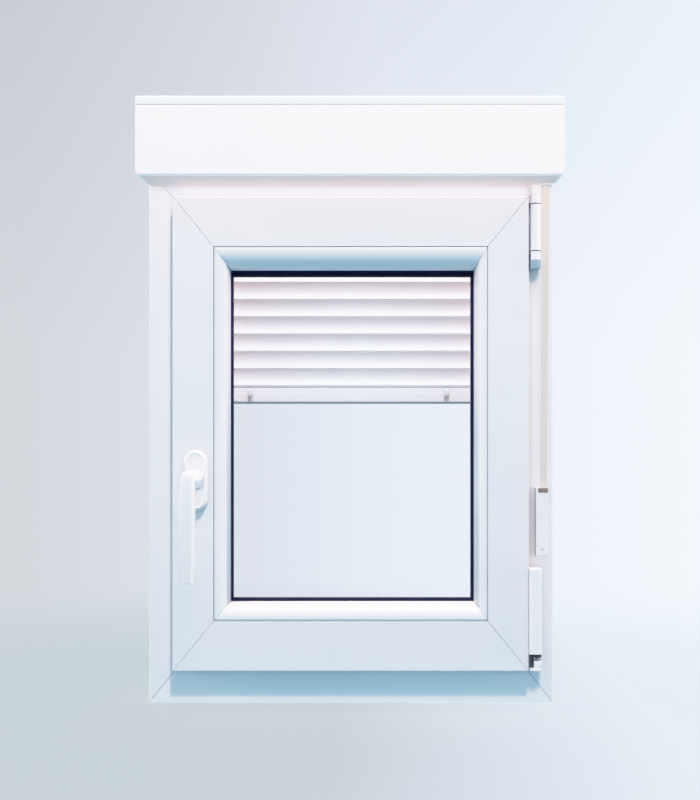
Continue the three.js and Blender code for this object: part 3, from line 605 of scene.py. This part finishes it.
def make_slats():
    """The slats seen through the glass, each with a lock at either end that runs in the guides."""
    lock = [(0.9, 2.0), (5.2, 2.0), (7.2, 12), (5.2, 21.5), (2.2, 21.5), (4.2, 12)]
    for i in range(1, SLAT_COUNT + 1):
        low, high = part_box(f"slat_{i}")
        vertices, faces = along_x(placed(slat_section(), low), low.x, high.x)
        new_piece(f"slat_blade_{i}", "curtain", "slat", vertices, faces, [f"slat_{i}"], 40)
        for label, side in (("left", -1), ("right", 1)):
            start, end = side * (CURTAIN_HALF - 2.2 * MM), side * (CURTAIN_HALF + 1.2 * MM)
            vertices, faces = along_x(placed(lock, low), start, end)
            new_piece(f"slat_lock_{i}_{label}", "curtain", "plastic", vertices, faces)


def make_bottom_bar():
    """The curtain's last slat, with a groove along its face, and the soft seal under it, whose blue-grey
    paints the shade line under the bar.
    """
    height = (bar_high.z - bar_low.z) / MM
    section = arc((2.0, 4.0), 1.4, 270, 180, 5)
    section += [(1.0, 9.6), (1.5, 10.0), (1.1, 10.4)]
    section += arc((3.1, 21.6), 1.4, 180, 100, 5)
    section += [(3.1, height - 0.1), (4.9, height - 0.1)]
    section += arc((6.4, 20.6), 1.5, 60, 0, 5)
    section += [(7.9, 4.4)]
    section += arc((6.4, 4.2), 1.5, 0, -90, 5)
    vertices, faces = along_x(placed(section, bar_low), bar_low.x, bar_high.x)
    new_piece("bottom_slat", "curtain", "slat", vertices, faces, ["bottom_bar"])
    # The seal's blue-grey is painted shade along the bar's lower edge.
    seal = arc((4.0, 1.3), 1.3, 180, 360, 8) + [(5.3, 2.9), (2.7, 2.9)]
    vertices, faces = along_x(placed(seal, bar_low), bar_low.x + 1 * MM, bar_high.x - 1 * MM)
    new_piece("bottom_seal", "curtain", "cap", vertices, faces)


def make_stops():
    """The two oval buffers that stop the bottom bar at the box, each on a small foot."""
    dome = [(2.2, 1.5), (2.6, 0.4), (3.4, 0.0), (4.8, 0.0), (5.9, 0.35), (6.8, 0.9), (7.4, 1.6), (7.8, 2.3),
            (8.0, 2.9)]
    foot = [(0.0, 0.0), (2.2, 0.0), (3.0, 0.6)]
    knob_half_height, foot_half_height = 6.0, 7.5
    for side in ("left", "right"):
        low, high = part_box(f"{side}_stop")
        x = (low.x + high.x) / 2 - 0.2 * MM
        back = high.y + 0.3 * MM
        z = high.z - knob_half_height * MM
        vertices, faces = stadium_stack(
            dome, 3.3, knob_half_height,
            lambda a, b, reach: Vector((x + a, back - reach, z + b)), 14)
        new_piece(f"{side}_buffer", "curtain", "lacquer", vertices, faces, [f"{side}_stop"])
        foot_x = x + 0.9 * MM
        foot_z = low.z + foot_half_height * MM
        vertices, faces = stadium_stack(
            foot, 1.9, foot_half_height,
            lambda a, b, reach: Vector((foot_x + a, high.y - reach, foot_z + b)), 8)
        new_piece(f"{side}_buffer_foot", "curtain", "beige_and_painted_shade", vertices, faces)


# ---------- handle ----------
def grip_loop(height, left, right, front, back, sides=28):
    """A rounded cross-section of the grip at one height, in millimetres from the handle's axis."""
    centre_x, centre_y = (left + right) / 2, (front + back) / 2
    half_x, half_y = (right - left) / 2, (front - back) / 2
    roundness = 2 / 3.6
    loop = []
    for i in range(sides):
        angle = 2 * math.pi * i / sides
        c, s = math.cos(angle), math.sin(angle)
        x = centre_x + half_x * math.copysign(abs(c) ** roundness, c)
        y = centre_y + half_y * math.copysign(abs(s) ** roundness, s)
        loop.append(Vector((HANDLE_AXIS.x + x * MM, SASH_FACE + y * MM, HANDLE_AXIS.z + height * MM)))
    return loop


def make_lever():
    """The lever: a round neck that turns into a bowed, flattened grip with a cut end."""
    # Height, left, right, front and back of the grip, from its shoulder down to its cut end.
    stages = [
        (12.8, -5.2, -0.4, -47, -37), (12.2, -8.0, 1.8, -50, -34.5), (10.4, -11.2, 3.6, -52, -33.4),
        (6.0, -13.6, 4.6, -53.4, -32.8), (-2.0, -14.6, 4.9, -54.0, -33.2), (-12, -15.2, 4.9, -54.2, -35.4),
        (-22, -15.9, 4.9, -54.2, -37.0), (-34, -16.7, 4.9, -54.0, -38.0), (-49, -17.2, 4.9, -53.4, -38.4),
        (-64, -17.1, 4.5, -52.9, -38.4), (-78, -16.7, 4.1, -52.3, -38.2), (-93, -15.9, 3.7, -51.5, -37.8),
        (-107, -14.9, 3.3, -50.6, -37.2), (-120, -13.8, 2.6, -49.8, -36.6), (-132, -12.7, 2.0, -49.0, -36.0),
        (-135.9, -12.4, 1.9, -48.7, -35.9), (-136.4, -11.9, 1.4, -48.2, -36.4),
    ]
    vertices, faces = loft([grip_loop(*stage) for stage in stages])
    neck = [(0.0, -1.0), (11.3, -1.0), (11.3, -20.0), (11.6, -28.0), (11.9, -34.0), (11.7, -39.0),
            (10.4, -43.5), (8.0, -46.8), (4.5, -49.0), (0.0, -49.6)]
    centre = (HANDLE_AXIS.x, SASH_FACE, HANDLE_AXIS.z + 1.2 * MM)
    neck_vertices, neck_faces = lathe(neck, centre, "Y", 40)
    shift = len(vertices)
    vertices += neck_vertices
    faces += [tuple(i + shift for i in face) for face in neck_faces]
    lever = new_piece("lever_grip", "handle", "lacquer", vertices, faces, ["handle_lever"])
    remesh = lever.modifiers.new("skin", "REMESH")
    remesh.mode = "VOXEL"
    remesh.voxel_size = 0.6 * MM
    remesh.use_smooth_shade = True
    relax = lever.modifiers.new("relax", "SMOOTH")
    relax.factor = 0.5
    relax.iterations = 3
    apply_modifiers(lever)


def apply_modifiers(piece):
    """Turns what a piece's modifiers make into its own mesh."""
    evaluated = piece.evaluated_get(bpy.context.evaluated_depsgraph_get())
    mesh = bpy.data.meshes.new_from_object(evaluated)
    mesh.name = piece.data.name + "_shaped"
    piece.modifiers.clear()
    piece.data = mesh
    mesh.polygons.foreach_set("use_smooth", [True] * len(mesh.polygons))


def make_rosette():
    """An upright rosette of two steps round a slightly dished plate, and the collar the neck turns in."""
    low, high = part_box("handle_rosette")
    middle = (low + high) / 2
    stages = [
        (0.0, 0.0), (2.6, 0.0), (3.2, 0.5), (4.4, 1.8), (4.7, 2.4), (7.9, 2.6), (8.9, 3.0), (9.5, 3.9),
        (9.3, 4.8), (8.8, 5.6), (8.6, 7.0),
    ]
    half_width, half_height = (high.x - low.x) / 2 / MM, (high.z - low.z) / 2 / MM
    vertices, faces = stadium_stack(
        stages, half_width, half_height,
        lambda a, b, height: Vector((middle.x + a, high.y - height, middle.z + b)))
    new_piece("rosette_plate", "sash", "lacquer", vertices, faces, ["handle_rosette"])
    collar = [(11.75, -8.0), (12.6, -8.0), (12.8, -9.5), (12.4, -10.3), (12.0, -10.4), (11.75, -10.1)]
    vertices, faces = lathe(collar, (HANDLE_AXIS.x, SASH_FACE, HANDLE_AXIS.z), "Y")
    new_piece("rosette_collar", "sash", "lacquer", vertices, faces)


# ---------- hinges ----------
# Heights above the sill's underside, in millimetres. A gap block, a dark block that paints the shade in the
# gap beside the barrel, also names the body that it rides.
RING_HEIGHTS = {"lower": 613.6, "upper": 677.2}
GAP_SHADE_BLOCKS = {"upper": ("stay", 670.5, 678.0), "lower": ("root", 603.5, 608.5)}


def make_hinge_details():
    """The top hinge's rings, dark bands under them that paint the shade of their grooves, an end cap whose
    blue-grey paints the shade under the hinge, and dark blocks that paint the shade in the gaps beside the
    barrel.
    """
    centre = (HINGE_AXIS.x, HINGE_AXIS.y, 0)
    for name, z in RING_HEIGHTS.items():
        vertices, faces = lathe([(6.9, z - 0.9), (7.4, z - 0.6), (7.4, z + 0.6), (6.9, z + 0.9)], centre)
        new_piece(f"hinge_ring_{name}", "root", "lacquer", vertices, faces)
        # A near-black band just proud of the barrel: painted shade of the groove under each ring.
        vertices, faces = lathe([(6.7, z - 1.9), (7.12, z - 1.9), (7.12, z - 1.0), (6.7, z - 1.0)], centre)
        new_piece(f"hinge_groove_{name}", "root", "pile", vertices, faces)
    # The end cap's blue-grey is painted shade under the hinge.
    cap = [(6.8, 600.6), (7.3, 600.3), (7.3, 589.8), (6.9, 588.4), (5.6, 587.6), (0.0, 587.4)]
    vertices, faces = lathe(cap, centre)
    new_piece("hinge_end_cap", "root", "cap", vertices, faces)
    # Dark blocks in the gap beside the barrel: painted shade in the gap.
    section = [(6.6, 1.0), (8.1, 1.6), (8.1, 5.0), (5.4, 5.6)]
    for name, (body, z0, z1) in GAP_SHADE_BLOCKS.items():
        loops = [[Vector((HINGE_AXIS.x - a * MM, HINGE_AXIS.y + b * MM, z * MM)) for a, b in section]
                 for z in (z0, z1)]
        vertices, faces = loft(loops)
        new_piece(f"hinge_bushing_{name}", body, "pile", vertices, faces)


def make_hinge_cover():
    """The bottom hinge's cover: a hollow shell with a rounded top and a shallow groove down each side."""
    low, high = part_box("bottom_hinge_cover")
    x, y = (low.x + high.x) / 2, low.y
    half = (high.x - low.x) / 2 / MM
    depth = (high.y - low.y) / MM
    wall = 1.7
    left_lip = 0.4
    right = [(half, depth), (half, 4.2), (half - 0.5, 2.6), (half - 1.3, 1.5), (half - 1.7, 1.75),
             (half - 2.1, 0.95), (half - 3.6, 0.25), (half - 5.0, 0.0)]
    outside = [(-a - left_lip, b) for a, b in right] + right[::-1]
    inside = [(wall - half, depth), (wall - half, 4.6 + wall), (3.4 - half, 1.2 + wall)]
    inside += [(-a, b) for a, b in inside[::-1]]
    shell = outside + inside[::-1]
    loops = [[Vector((x + a * MM, y + b * MM, z)) for a, b in shell] for z in (low.z, high.z - 2.0 * MM)]
    vertices, faces = loft(loops)
    new_piece("hinge_cover_shell", "sash", "lacquer", vertices, faces, ["bottom_hinge_cover"], 28)
    loops = []
    for rise, inset in ((-2.4, 0.0), (-1.6, 0.15), (-0.8, 0.6), (-0.25, 1.3), (0.0, 2.4)):
        across, along = 1 - inset / half, 1 - inset / depth
        loops.append([Vector((x + a * across * MM, y + (inset + b * along) * MM, high.z + rise * MM))
                      for a, b in outside])
    vertices, faces = loft(loops)
    new_piece("hinge_cover_top", "sash", "lacquer", vertices, faces, (), 40)


def pivot_block(x_span, y_span, z_span, soft):
    """A block with rounded upright corners, in millimetres across from the pivot and up from the sill."""
    (x0, x1), (y0, y1), (z0, z1) = x_span, y_span, z_span
    edge = 0.3
    usual_half = 8.0
    outline = []
    for x, y, start in ((x1 - soft, y1 - soft, 0), (x0 + soft, y1 - soft, 90), (x0 + soft, y0 + soft, 180),
                        (x1 - soft, y0 + soft, 270)):
        outline += arc((x, y), soft, start, start + 90, 4)
    loops = []
    for z, inset in ((z0, edge), (z0 + edge, 0.0), (z1 - edge, 0.0), (z1, edge)):
        shrink = (1 - inset / usual_half) * MM
        loops.append([Vector((PIVOT.x + a * shrink, PIVOT.y + b * shrink, z * MM)) for a, b in outline])
    return loft(loops)


def make_pivot():
    """The bottom pivot: a dark bracket with its bar and spigot, a white sleeve and a grub screw."""
    body = "sash_carrier"
    vertices, faces = pivot_block((-7.6, -3.0), (-3.4, 3.6), (51.2, 68.4), 0.8)
    new_piece("pivot_bracket", body, "dark_steel", vertices, faces, ["bottom_hinge_pivot"])
    vertices, faces = pivot_block((-6.9, 7.4), (-4.4, 4.4), (65.0, 68.6), 0.9)
    new_piece("pivot_bar", body, "dark_steel", vertices, faces)
    vertices, faces = pivot_block((-2.4, 8.2), (-4.2, 4.4), (51.2, 60.6), 1.2)
    new_piece("pivot_sleeve", body, "lacquer", vertices, faces)
    vertices, faces = pivot_block((0.6, 4.4), (-3.6, 3.8), (60.9, 64.8), 0.6)
    new_piece("pivot_lug", body, "pile", vertices, faces)
    spigot = [(0.0, 68.2), (3.4, 68.2), (3.4, 75.2), (2.8, 76.0), (0.0, 76.0)]
    vertices, faces = lathe(spigot, (PIVOT.x, PIVOT.y, 0), "Z", 32)
    new_piece("pivot_spigot", body, "steel", vertices, faces)
    screw = [(0.0, -0.1), (1.5, -0.1), (1.7, -0.5), (1.5, -0.9), (0.8, -0.9), (0.6, -0.4), (0.0, -0.4)]
    vertices, faces = lathe(screw, (PIVOT.x + 2.4 * MM, PIVOT.y - 3.6 * MM, 62.8 * MM), "Y", 24)
    new_piece("pivot_screw", body, "steel", vertices, faces)


def make_winder_screw():
    """The screw through the winder's face, with a recess in its head; the head's grey is painted shade of its
    dimple.
    """
    radius = 1.7
    rise = 11 * MM
    head = [(0.0, 0.0), (radius, 0.0), (radius, -0.3), (radius - 0.3, -0.5), (0.9, -0.5), (0.75, -0.1),
            (0.0, -0.1)]
    centre = ((winder_low.x + winder_high.x) / 2, winder_low.y + 0.2 * MM, winder_low.z + rise)
    vertices, faces = lathe(head, centre, "Y", 32)
    # The screw head's grey is painted shade of its dimple.
    new_piece("winder_screw", "root", "recess", vertices, faces)


# ---------- strap and winder ----------
def make_strap():
    """The woven strap: a flat band whose cross ribs and selvedges are real relief."""
    half_width = 4.4
    half_thickness = 0.6
    rib_pitch = 1.5 * MM
    rib_steps = 4
    rib_depth = 0.22
    lean = 0.0083  # sideways drift for each unit of height
    across = [-1.0, -0.86, -0.7, -0.35, 0.0, 0.35, 0.7, 0.86, 1.0]  # shares of the half width
    centre_x = (outlet_low.x + outlet_high.x) / 2
    y = (outlet_low.y + outlet_high.y) / 2
    low, high = strap_low.z + 2 * MM, outlet_low.z + 9 * MM
    count = int((high - low) / rib_pitch * rib_steps)
    loops = []
    for i in range(count + 1):
        z = low + (high - low) * i / count
        swell = 0.5 + 0.5 * math.cos(2 * math.pi * i / rib_steps)
        x = centre_x + lean * (z - outlet_low.z)
        front = []
        for share in across:
            selvedge = 0.25 if abs(share) > 0.95 else 1.0
            relief = half_thickness - rib_depth * swell * (1 if abs(share) < 0.8 else 0.2)
            front.append((x + share * half_width * MM, relief * selvedge * MM))
        loop = [Vector((a, y - b, z)) for a, b in front]
        loop += [Vector((a, y + b, z)) for a, b in reversed(front)]
        loops.append(loop)
    end = loops[count]
    for share in (0.05, 0.5, 1.0):
        back = (strap_high.y - y) * share
        z = high + (strap_high.z - high) * share
        loops.append([Vector((point.x, point.y + back, z)) for point in end])
    vertices, faces = loft(loops)
    new_piece("woven_strap", "root", "webbing", vertices, faces, ["strap"], 60)


def make_winder_details():
    """The dark mouth of the winder with its guide bars, and the lip along its lower edge, whose grey paints
    the shadow line under it.
    """
    left, right = winder_low.x + 2.9 * MM, winder_high.x - 1.2 * MM
    front = winder_low.y
    rod = arc((0.1, 0), 0.75, 0, 360, 10)[:-1]
    for i, drop in enumerate((0.9, 2.5, 4.1, 5.7)):
        section = [(front + a * MM, winder_high.z + (b - drop) * MM) for a, b in rod]
        vertices, faces = along_x(section, left, right)
        new_piece(f"mouth_bar_{i + 1}", "root", "dark_mouth", vertices, faces)
    # The ridge's grey is painted shade along the winder's lower edge.
    lip_steps = 12
    lip_left, lip_width = winder_low.x + 1.2 * MM, winder_high.x - winder_low.x - 3.4 * MM
    loops = []
    for step in range(lip_steps + 1):
        share = step / lip_steps
        x = lip_left + share * lip_width
        z = winder_low.z + (1.7 + 1.1 * (2 * share - 1) ** 2) * MM
        loops.append([Vector((x, front + a * MM, z + b * MM))
                      for a, b in ((0.4, 0.45), (-0.3, 0.45), (-0.3, -0.45), (0.4, -0.45))])
    vertices, faces = loft(loops)
    new_piece("winder_lip", "root", "recess", vertices, faces)


# ---------- outdoor details ----------
# Depth of each brush's root in millimetres, and the way its pile points: outdoors or to the room.
BRUSHES = {"room": (44.9, 1), "outdoor": (56.4, -1)}


def make_guide_brushes():
    """Brush seals either side of the curtain in each guide."""
    for label, side in (("left", -1), ("right", 1)):
        inner = side * (abs(guide_high.x) + 1.5 * MM)
        outer = side * (abs(guide_high.x) + 6 * MM)
        for name, (y, lean) in BRUSHES.items():
            section = [(inner, y - 0.4 * lean), (outer, y - 0.4 * lean), (outer, y + 1.1 * lean),
                       ((inner + outer) / 2, y + 1.5 * lean), (inner, y + 1.1 * lean)]
            ends = (guide_low.z + 3 * MM, guide_high.z - 3 * MM)
            vertices, faces = loft([[Vector((x, depth * MM, z)) for x, depth in section] for z in ends])
            new_piece(f"brush_{label}_{name}", "root", "pile", vertices, faces)


def make_drain_caps():
    """Caps over the sill's drain slots, outdoors."""
    stages = [(0.0, 0.0), (1.2, 0.3), (2.2, 1.2), (2.6, 2.4)]
    from_middle, height = 95 * MM, 34 * MM
    for label, side in (("left", -1), ("right", 1)):
        x = side * from_middle
        vertices, faces = stadium_stack(
            stages, 5.5, 17,
            lambda a, b, reach: Vector((x + b, sill_high.y + reach, height + a)), 10)
        new_piece(f"drain_cap_{label}", "root", "plastic", vertices, faces)


# ---------- stage and light ----------
FLOOR_RADIUS = 1.8
FLOOR_SIDES = 64
FLOOR_DROP = 0.1 * MM
FLOOR_SHADED, FLOOR_LIT = (0.49, 0.51, 0.53), (0.73, 0.78, 0.89)
FLOOR_TONE_HALF = 0.4
FLOOR_FADE_START, FLOOR_FADE_END = 0.35, 1.7


def mapped(nodes, links, value, low, high, to_low=0.0, to_high=1.0):
    """A value carried from one range on to another."""
    node = nodes.new("ShaderNodeMapRange")
    node.inputs["From Min"].default_value = low
    node.inputs["From Max"].default_value = high
    node.inputs["To Min"].default_value = to_low
    node.inputs["To Max"].default_value = to_high
    links.new(value, node.inputs["Value"])
    return node


def make_floor():
    """A wide pale floor that glows with the backdrop's tones, painted light from shaded at the left to lit at
    the right, and fades into it.
    """
    shader = Shader("floor_paper")
    nodes, links = shader.nodes, shader.links
    split = nodes.new("ShaderNodeSeparateXYZ")
    links.new(shader.place, split.inputs["Vector"])
    across = mapped(nodes, links, split.outputs["X"], -FLOOR_TONE_HALF, FLOOR_TONE_HALF)
    grain = shader.noise(220, 3.0)
    tone = shader.ramp(shader.add(across.outputs["Result"], grain, 0.04), FLOOR_SHADED, FLOOR_LIT, 0.5, 1.0)
    shader.colour(shader.ramp(grain, (0.20, 0.19, 0.19), (0.22, 0.21, 0.21), 0.3, 0.7))
    # The emission is painted light: the floor glows darker at the left and lighter at the right.
    links.new(tone, shader.surface.inputs["Emission Color"])
    shader.surface.inputs["Emission Strength"].default_value = 1.0
    shader.surface.inputs["Roughness"].default_value = 0.9
    spread = nodes.new("ShaderNodeVectorMath")
    spread.operation = "LENGTH"
    links.new(shader.place, spread.inputs[0])
    fade = mapped(nodes, links, spread.outputs["Value"], FLOOR_FADE_START, FLOOR_FADE_END, 1.0, 0.0)
    fade.interpolation_type = "SMOOTHSTEP"
    links.new(fade.outputs["Result"], shader.surface.inputs["Alpha"])
    mesh = bpy.data.meshes.new("floor")
    ring = [(a, b, 0) for a, b in arc((0, 0), FLOOR_RADIUS, 0, 360, FLOOR_SIDES)[:-1]]
    mesh.from_pydata(ring, [], [tuple(range(FLOOR_SIDES))])
    mesh.materials.append(shader.material)
    floor = bpy.data.objects.new("floor", mesh)
    floor.location.z = cad_low.z - FLOOR_DROP
    bpy.context.scene.collection.objects.link(floor)
    floor.visible_diffuse = False
    floor.visible_shadow = False


SKY_COLOUR = (0.415, 0.785, 1.0, 1)
SKY_STRENGTH = 0.65
BACKDROP_HALF = 0.24
BACKDROP_LOW, BACKDROP_HIGH = (0.06, 1.3), (0.30, 1.14)  # height of a direction, and its brightness
# The backdrop's tones from left to right.
BACKDROP = (
    (0.0, (0.50, 0.53, 0.565)), (0.31, (0.575, 0.605, 0.68)), (0.5, (0.65, 0.695, 0.80)),
    (0.68, (0.68, 0.73, 0.865)), (1.0, (0.76, 0.84, 1.0)),
)


def make_world():
    """A cool surround that lights the shaded sides, behind a pale backdrop that only the camera sees."""
    world = bpy.data.worlds.new("surround")
    bpy.context.scene.world = world
    world.use_nodes = True
    nodes, links = world.node_tree.nodes, world.node_tree.links
    background = nodes["Background"]
    background.inputs["Color"].default_value = SKY_COLOUR
    background.inputs["Strength"].default_value = SKY_STRENGTH
    seen = nodes.new("ShaderNodeBackground")
    place = nodes.new("ShaderNodeTexCoord")
    split = nodes.new("ShaderNodeSeparateXYZ")
    links.new(place.outputs["Generated"], split.inputs["Vector"])
    ramp = nodes.new("ShaderNodeValToRGB")
    while len(ramp.color_ramp.elements) < len(BACKDROP):
        ramp.color_ramp.elements.new(0.5)
    for element, (position, tone) in zip(ramp.color_ramp.elements, BACKDROP):
        element.position = position
        element.color = (*tone, 1)
    spread = mapped(nodes, links, split.outputs["X"], -BACKDROP_HALF, BACKDROP_HALF)
    links.new(spread.outputs["Result"], ramp.inputs["Fac"])
    links.new(ramp.outputs["Color"], seen.inputs["Color"])
    heights, glows = zip(BACKDROP_LOW, BACKDROP_HIGH)
    falling = mapped(nodes, links, split.outputs["Z"], *heights, *glows)
    links.new(falling.outputs["Result"], seen.inputs["Strength"])
    path = nodes.new("ShaderNodeLightPath")
    mix = nodes.new("ShaderNodeMixShader")
    links.new(path.outputs["Is Camera Ray"], mix.inputs[0])
    links.new(background.outputs["Background"], mix.inputs[1])
    links.new(seen.outputs["Background"], mix.inputs[2])
    links.new(mix.outputs["Shader"], nodes["World Output"].inputs["Surface"])


KEY_PLACE = Vector((0.36, -1.95, 3.3))
KEY_LIFT = Vector((0, 0, 0.4))
KEY_COLOUR = (1.0, 0.705, 0.64)
FILL_COLOUR = (1.0, 0.76, 0.66)
# Small parts whose hard shadows would be out of scale: they shade softly instead.
SOFT_SHADED = (
    "lever_", "woven_", "handle_lever", "winder_", "mouth_", "top_hinge_", "hinge_end_", "hinge_ring_",
    "pivot_", "bottom_hinge_bearing", "bottom_hinge_pivot", "bottom_hinge_leaf",
)


def light(name, kind, towards, strength, colour, size):
    """A light from the direction given: size is degrees for a sun, metres for a disk, which stands there."""
    data = bpy.data.lights.new(name, kind)
    data.energy = strength
    data.color = colour
    lamp = bpy.data.objects.new(name, data)
    if kind == "SUN":
        data.angle = math.radians(size)
    else:
        data.shape = "DISK"
        data.size = size
        lamp.location = Vector(towards) + KEY_LIFT
    lamp.rotation_mode = "QUATERNION"
    lamp.rotation_quaternion = Vector(towards).to_track_quat("Z", "Y")
    bpy.context.scene.collection.objects.link(lamp)
    return lamp


def only(lamp, lit, blockers=None):
    """Keeps a light to the pieces it may reach, and its shadows to the pieces that may cast them."""
    receivers = bpy.data.collections.new(f"{lamp.name}_lit")
    for item in lit:
        receivers.objects.link(item)
    lamp.light_linking.receiver_collection = receivers
    if blockers is not None:
        casters = bpy.data.collections.new(f"{lamp.name}_blockers")
        for item in blockers:
            casters.objects.link(item)
        lamp.light_linking.blocker_collection = casters


def in_body(item, body):
    """Whether a piece rides a body, or is one of the body's own CAD nodes."""
    return item.get("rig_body") == body or item.parent == frame["bodies"][body]


def make_lights():
    """A high key for the window, a lower one for the curtain behind the glass, and soft fills."""
    pieces = [o for o in bpy.data.objects if o.type == "MESH" and o.name != "floor"]
    curtain = [o for o in pieces if in_body(o, "curtain")]
    window = [o for o in pieces if o not in curtain]
    box = [o for o in pieces if o.name.startswith("box_")]
    below = [o for o in window
             if not in_body(o, "roller") and not o.name.startswith(("box_", "strap_", "idle_"))]
    sill = [frame["nodes"]["frame_sill"]]

    key = light("key", "AREA", KEY_PLACE, 129, KEY_COLOUR, 0.3)
    only(key, window, [o for o in below if not o.name.startswith(SOFT_SHADED)])
    soft_key = light("soft_key", "AREA", KEY_PLACE, 38, KEY_COLOUR, 2.0)
    only(soft_key, window, [o for o in below if not o.name.startswith("winder_")])
    only(light("curtain_key", "SUN", (0.1, -1.0, 1.6), 2.8, (1.0, 0.95, 0.99), 22), curtain, curtain)
    only(light("curtain_glow", "SUN", (0.0, -1.0, -0.8), 0.83, (1.0, 0.40, 0.27), 40), curtain, curtain)
    only(light("bounce", "SUN", (0.1, -0.5, -1.0), 0.87, (1.0, 0.74, 0.65), 40), box, box)
    only(light("ground_glow", "SUN", (0.0, -0.03, -1.0), 1.6, (1.0, 0.9, 0.92), 30), sill)
    only(light("left_fill", "SUN", (-1.0, -0.12, 0.3), 1.5, FILL_COLOUR, 20), pieces)
    only(light("right_fill", "SUN", (1.0, -0.05, 0.25), 1.3, FILL_COLOUR, 20), pieces)
    only(light("outdoor", "SUN", (-0.45, 1.0, 0.9), 2.0, FILL_COLOUR, 20), pieces)


SHOULDER = ((0.25, 0.40), (0.5, 0.785), (0.62, 0.90), (0.8, 0.975))
SHOULDER_WHITE = 1.6


def roll_off():
    """Standard colours with a soft shoulder, so that bright edges keep their shape."""
    settings = bpy.context.scene.view_settings
    settings.view_transform = "Standard"
    settings.use_curve_mapping = True
    curves = settings.curve_mapping
    curves.white_level = (SHOULDER_WHITE, SHOULDER_WHITE, SHOULDER_WHITE)
    curve = curves.curves[3]  # the one for all three colours together
    curve.points[0].location = (0.0, 0.0)
    curve.points[1].location = (1.0, 1.0)
    for value, shown in SHOULDER:
        curve.points.new(value, shown)
    curves.update()


dress_nodes()
make_beads()
make_spacer()
make_slats()
make_bottom_bar()
make_stops()
make_rosette()
make_lever()
make_hinge_details()
make_hinge_cover()
make_pivot()
make_winder_screw()
make_strap()
make_winder_details()
make_guide_brushes()
make_drain_caps()
make_floor()
make_world()
make_lights()
roll_off()
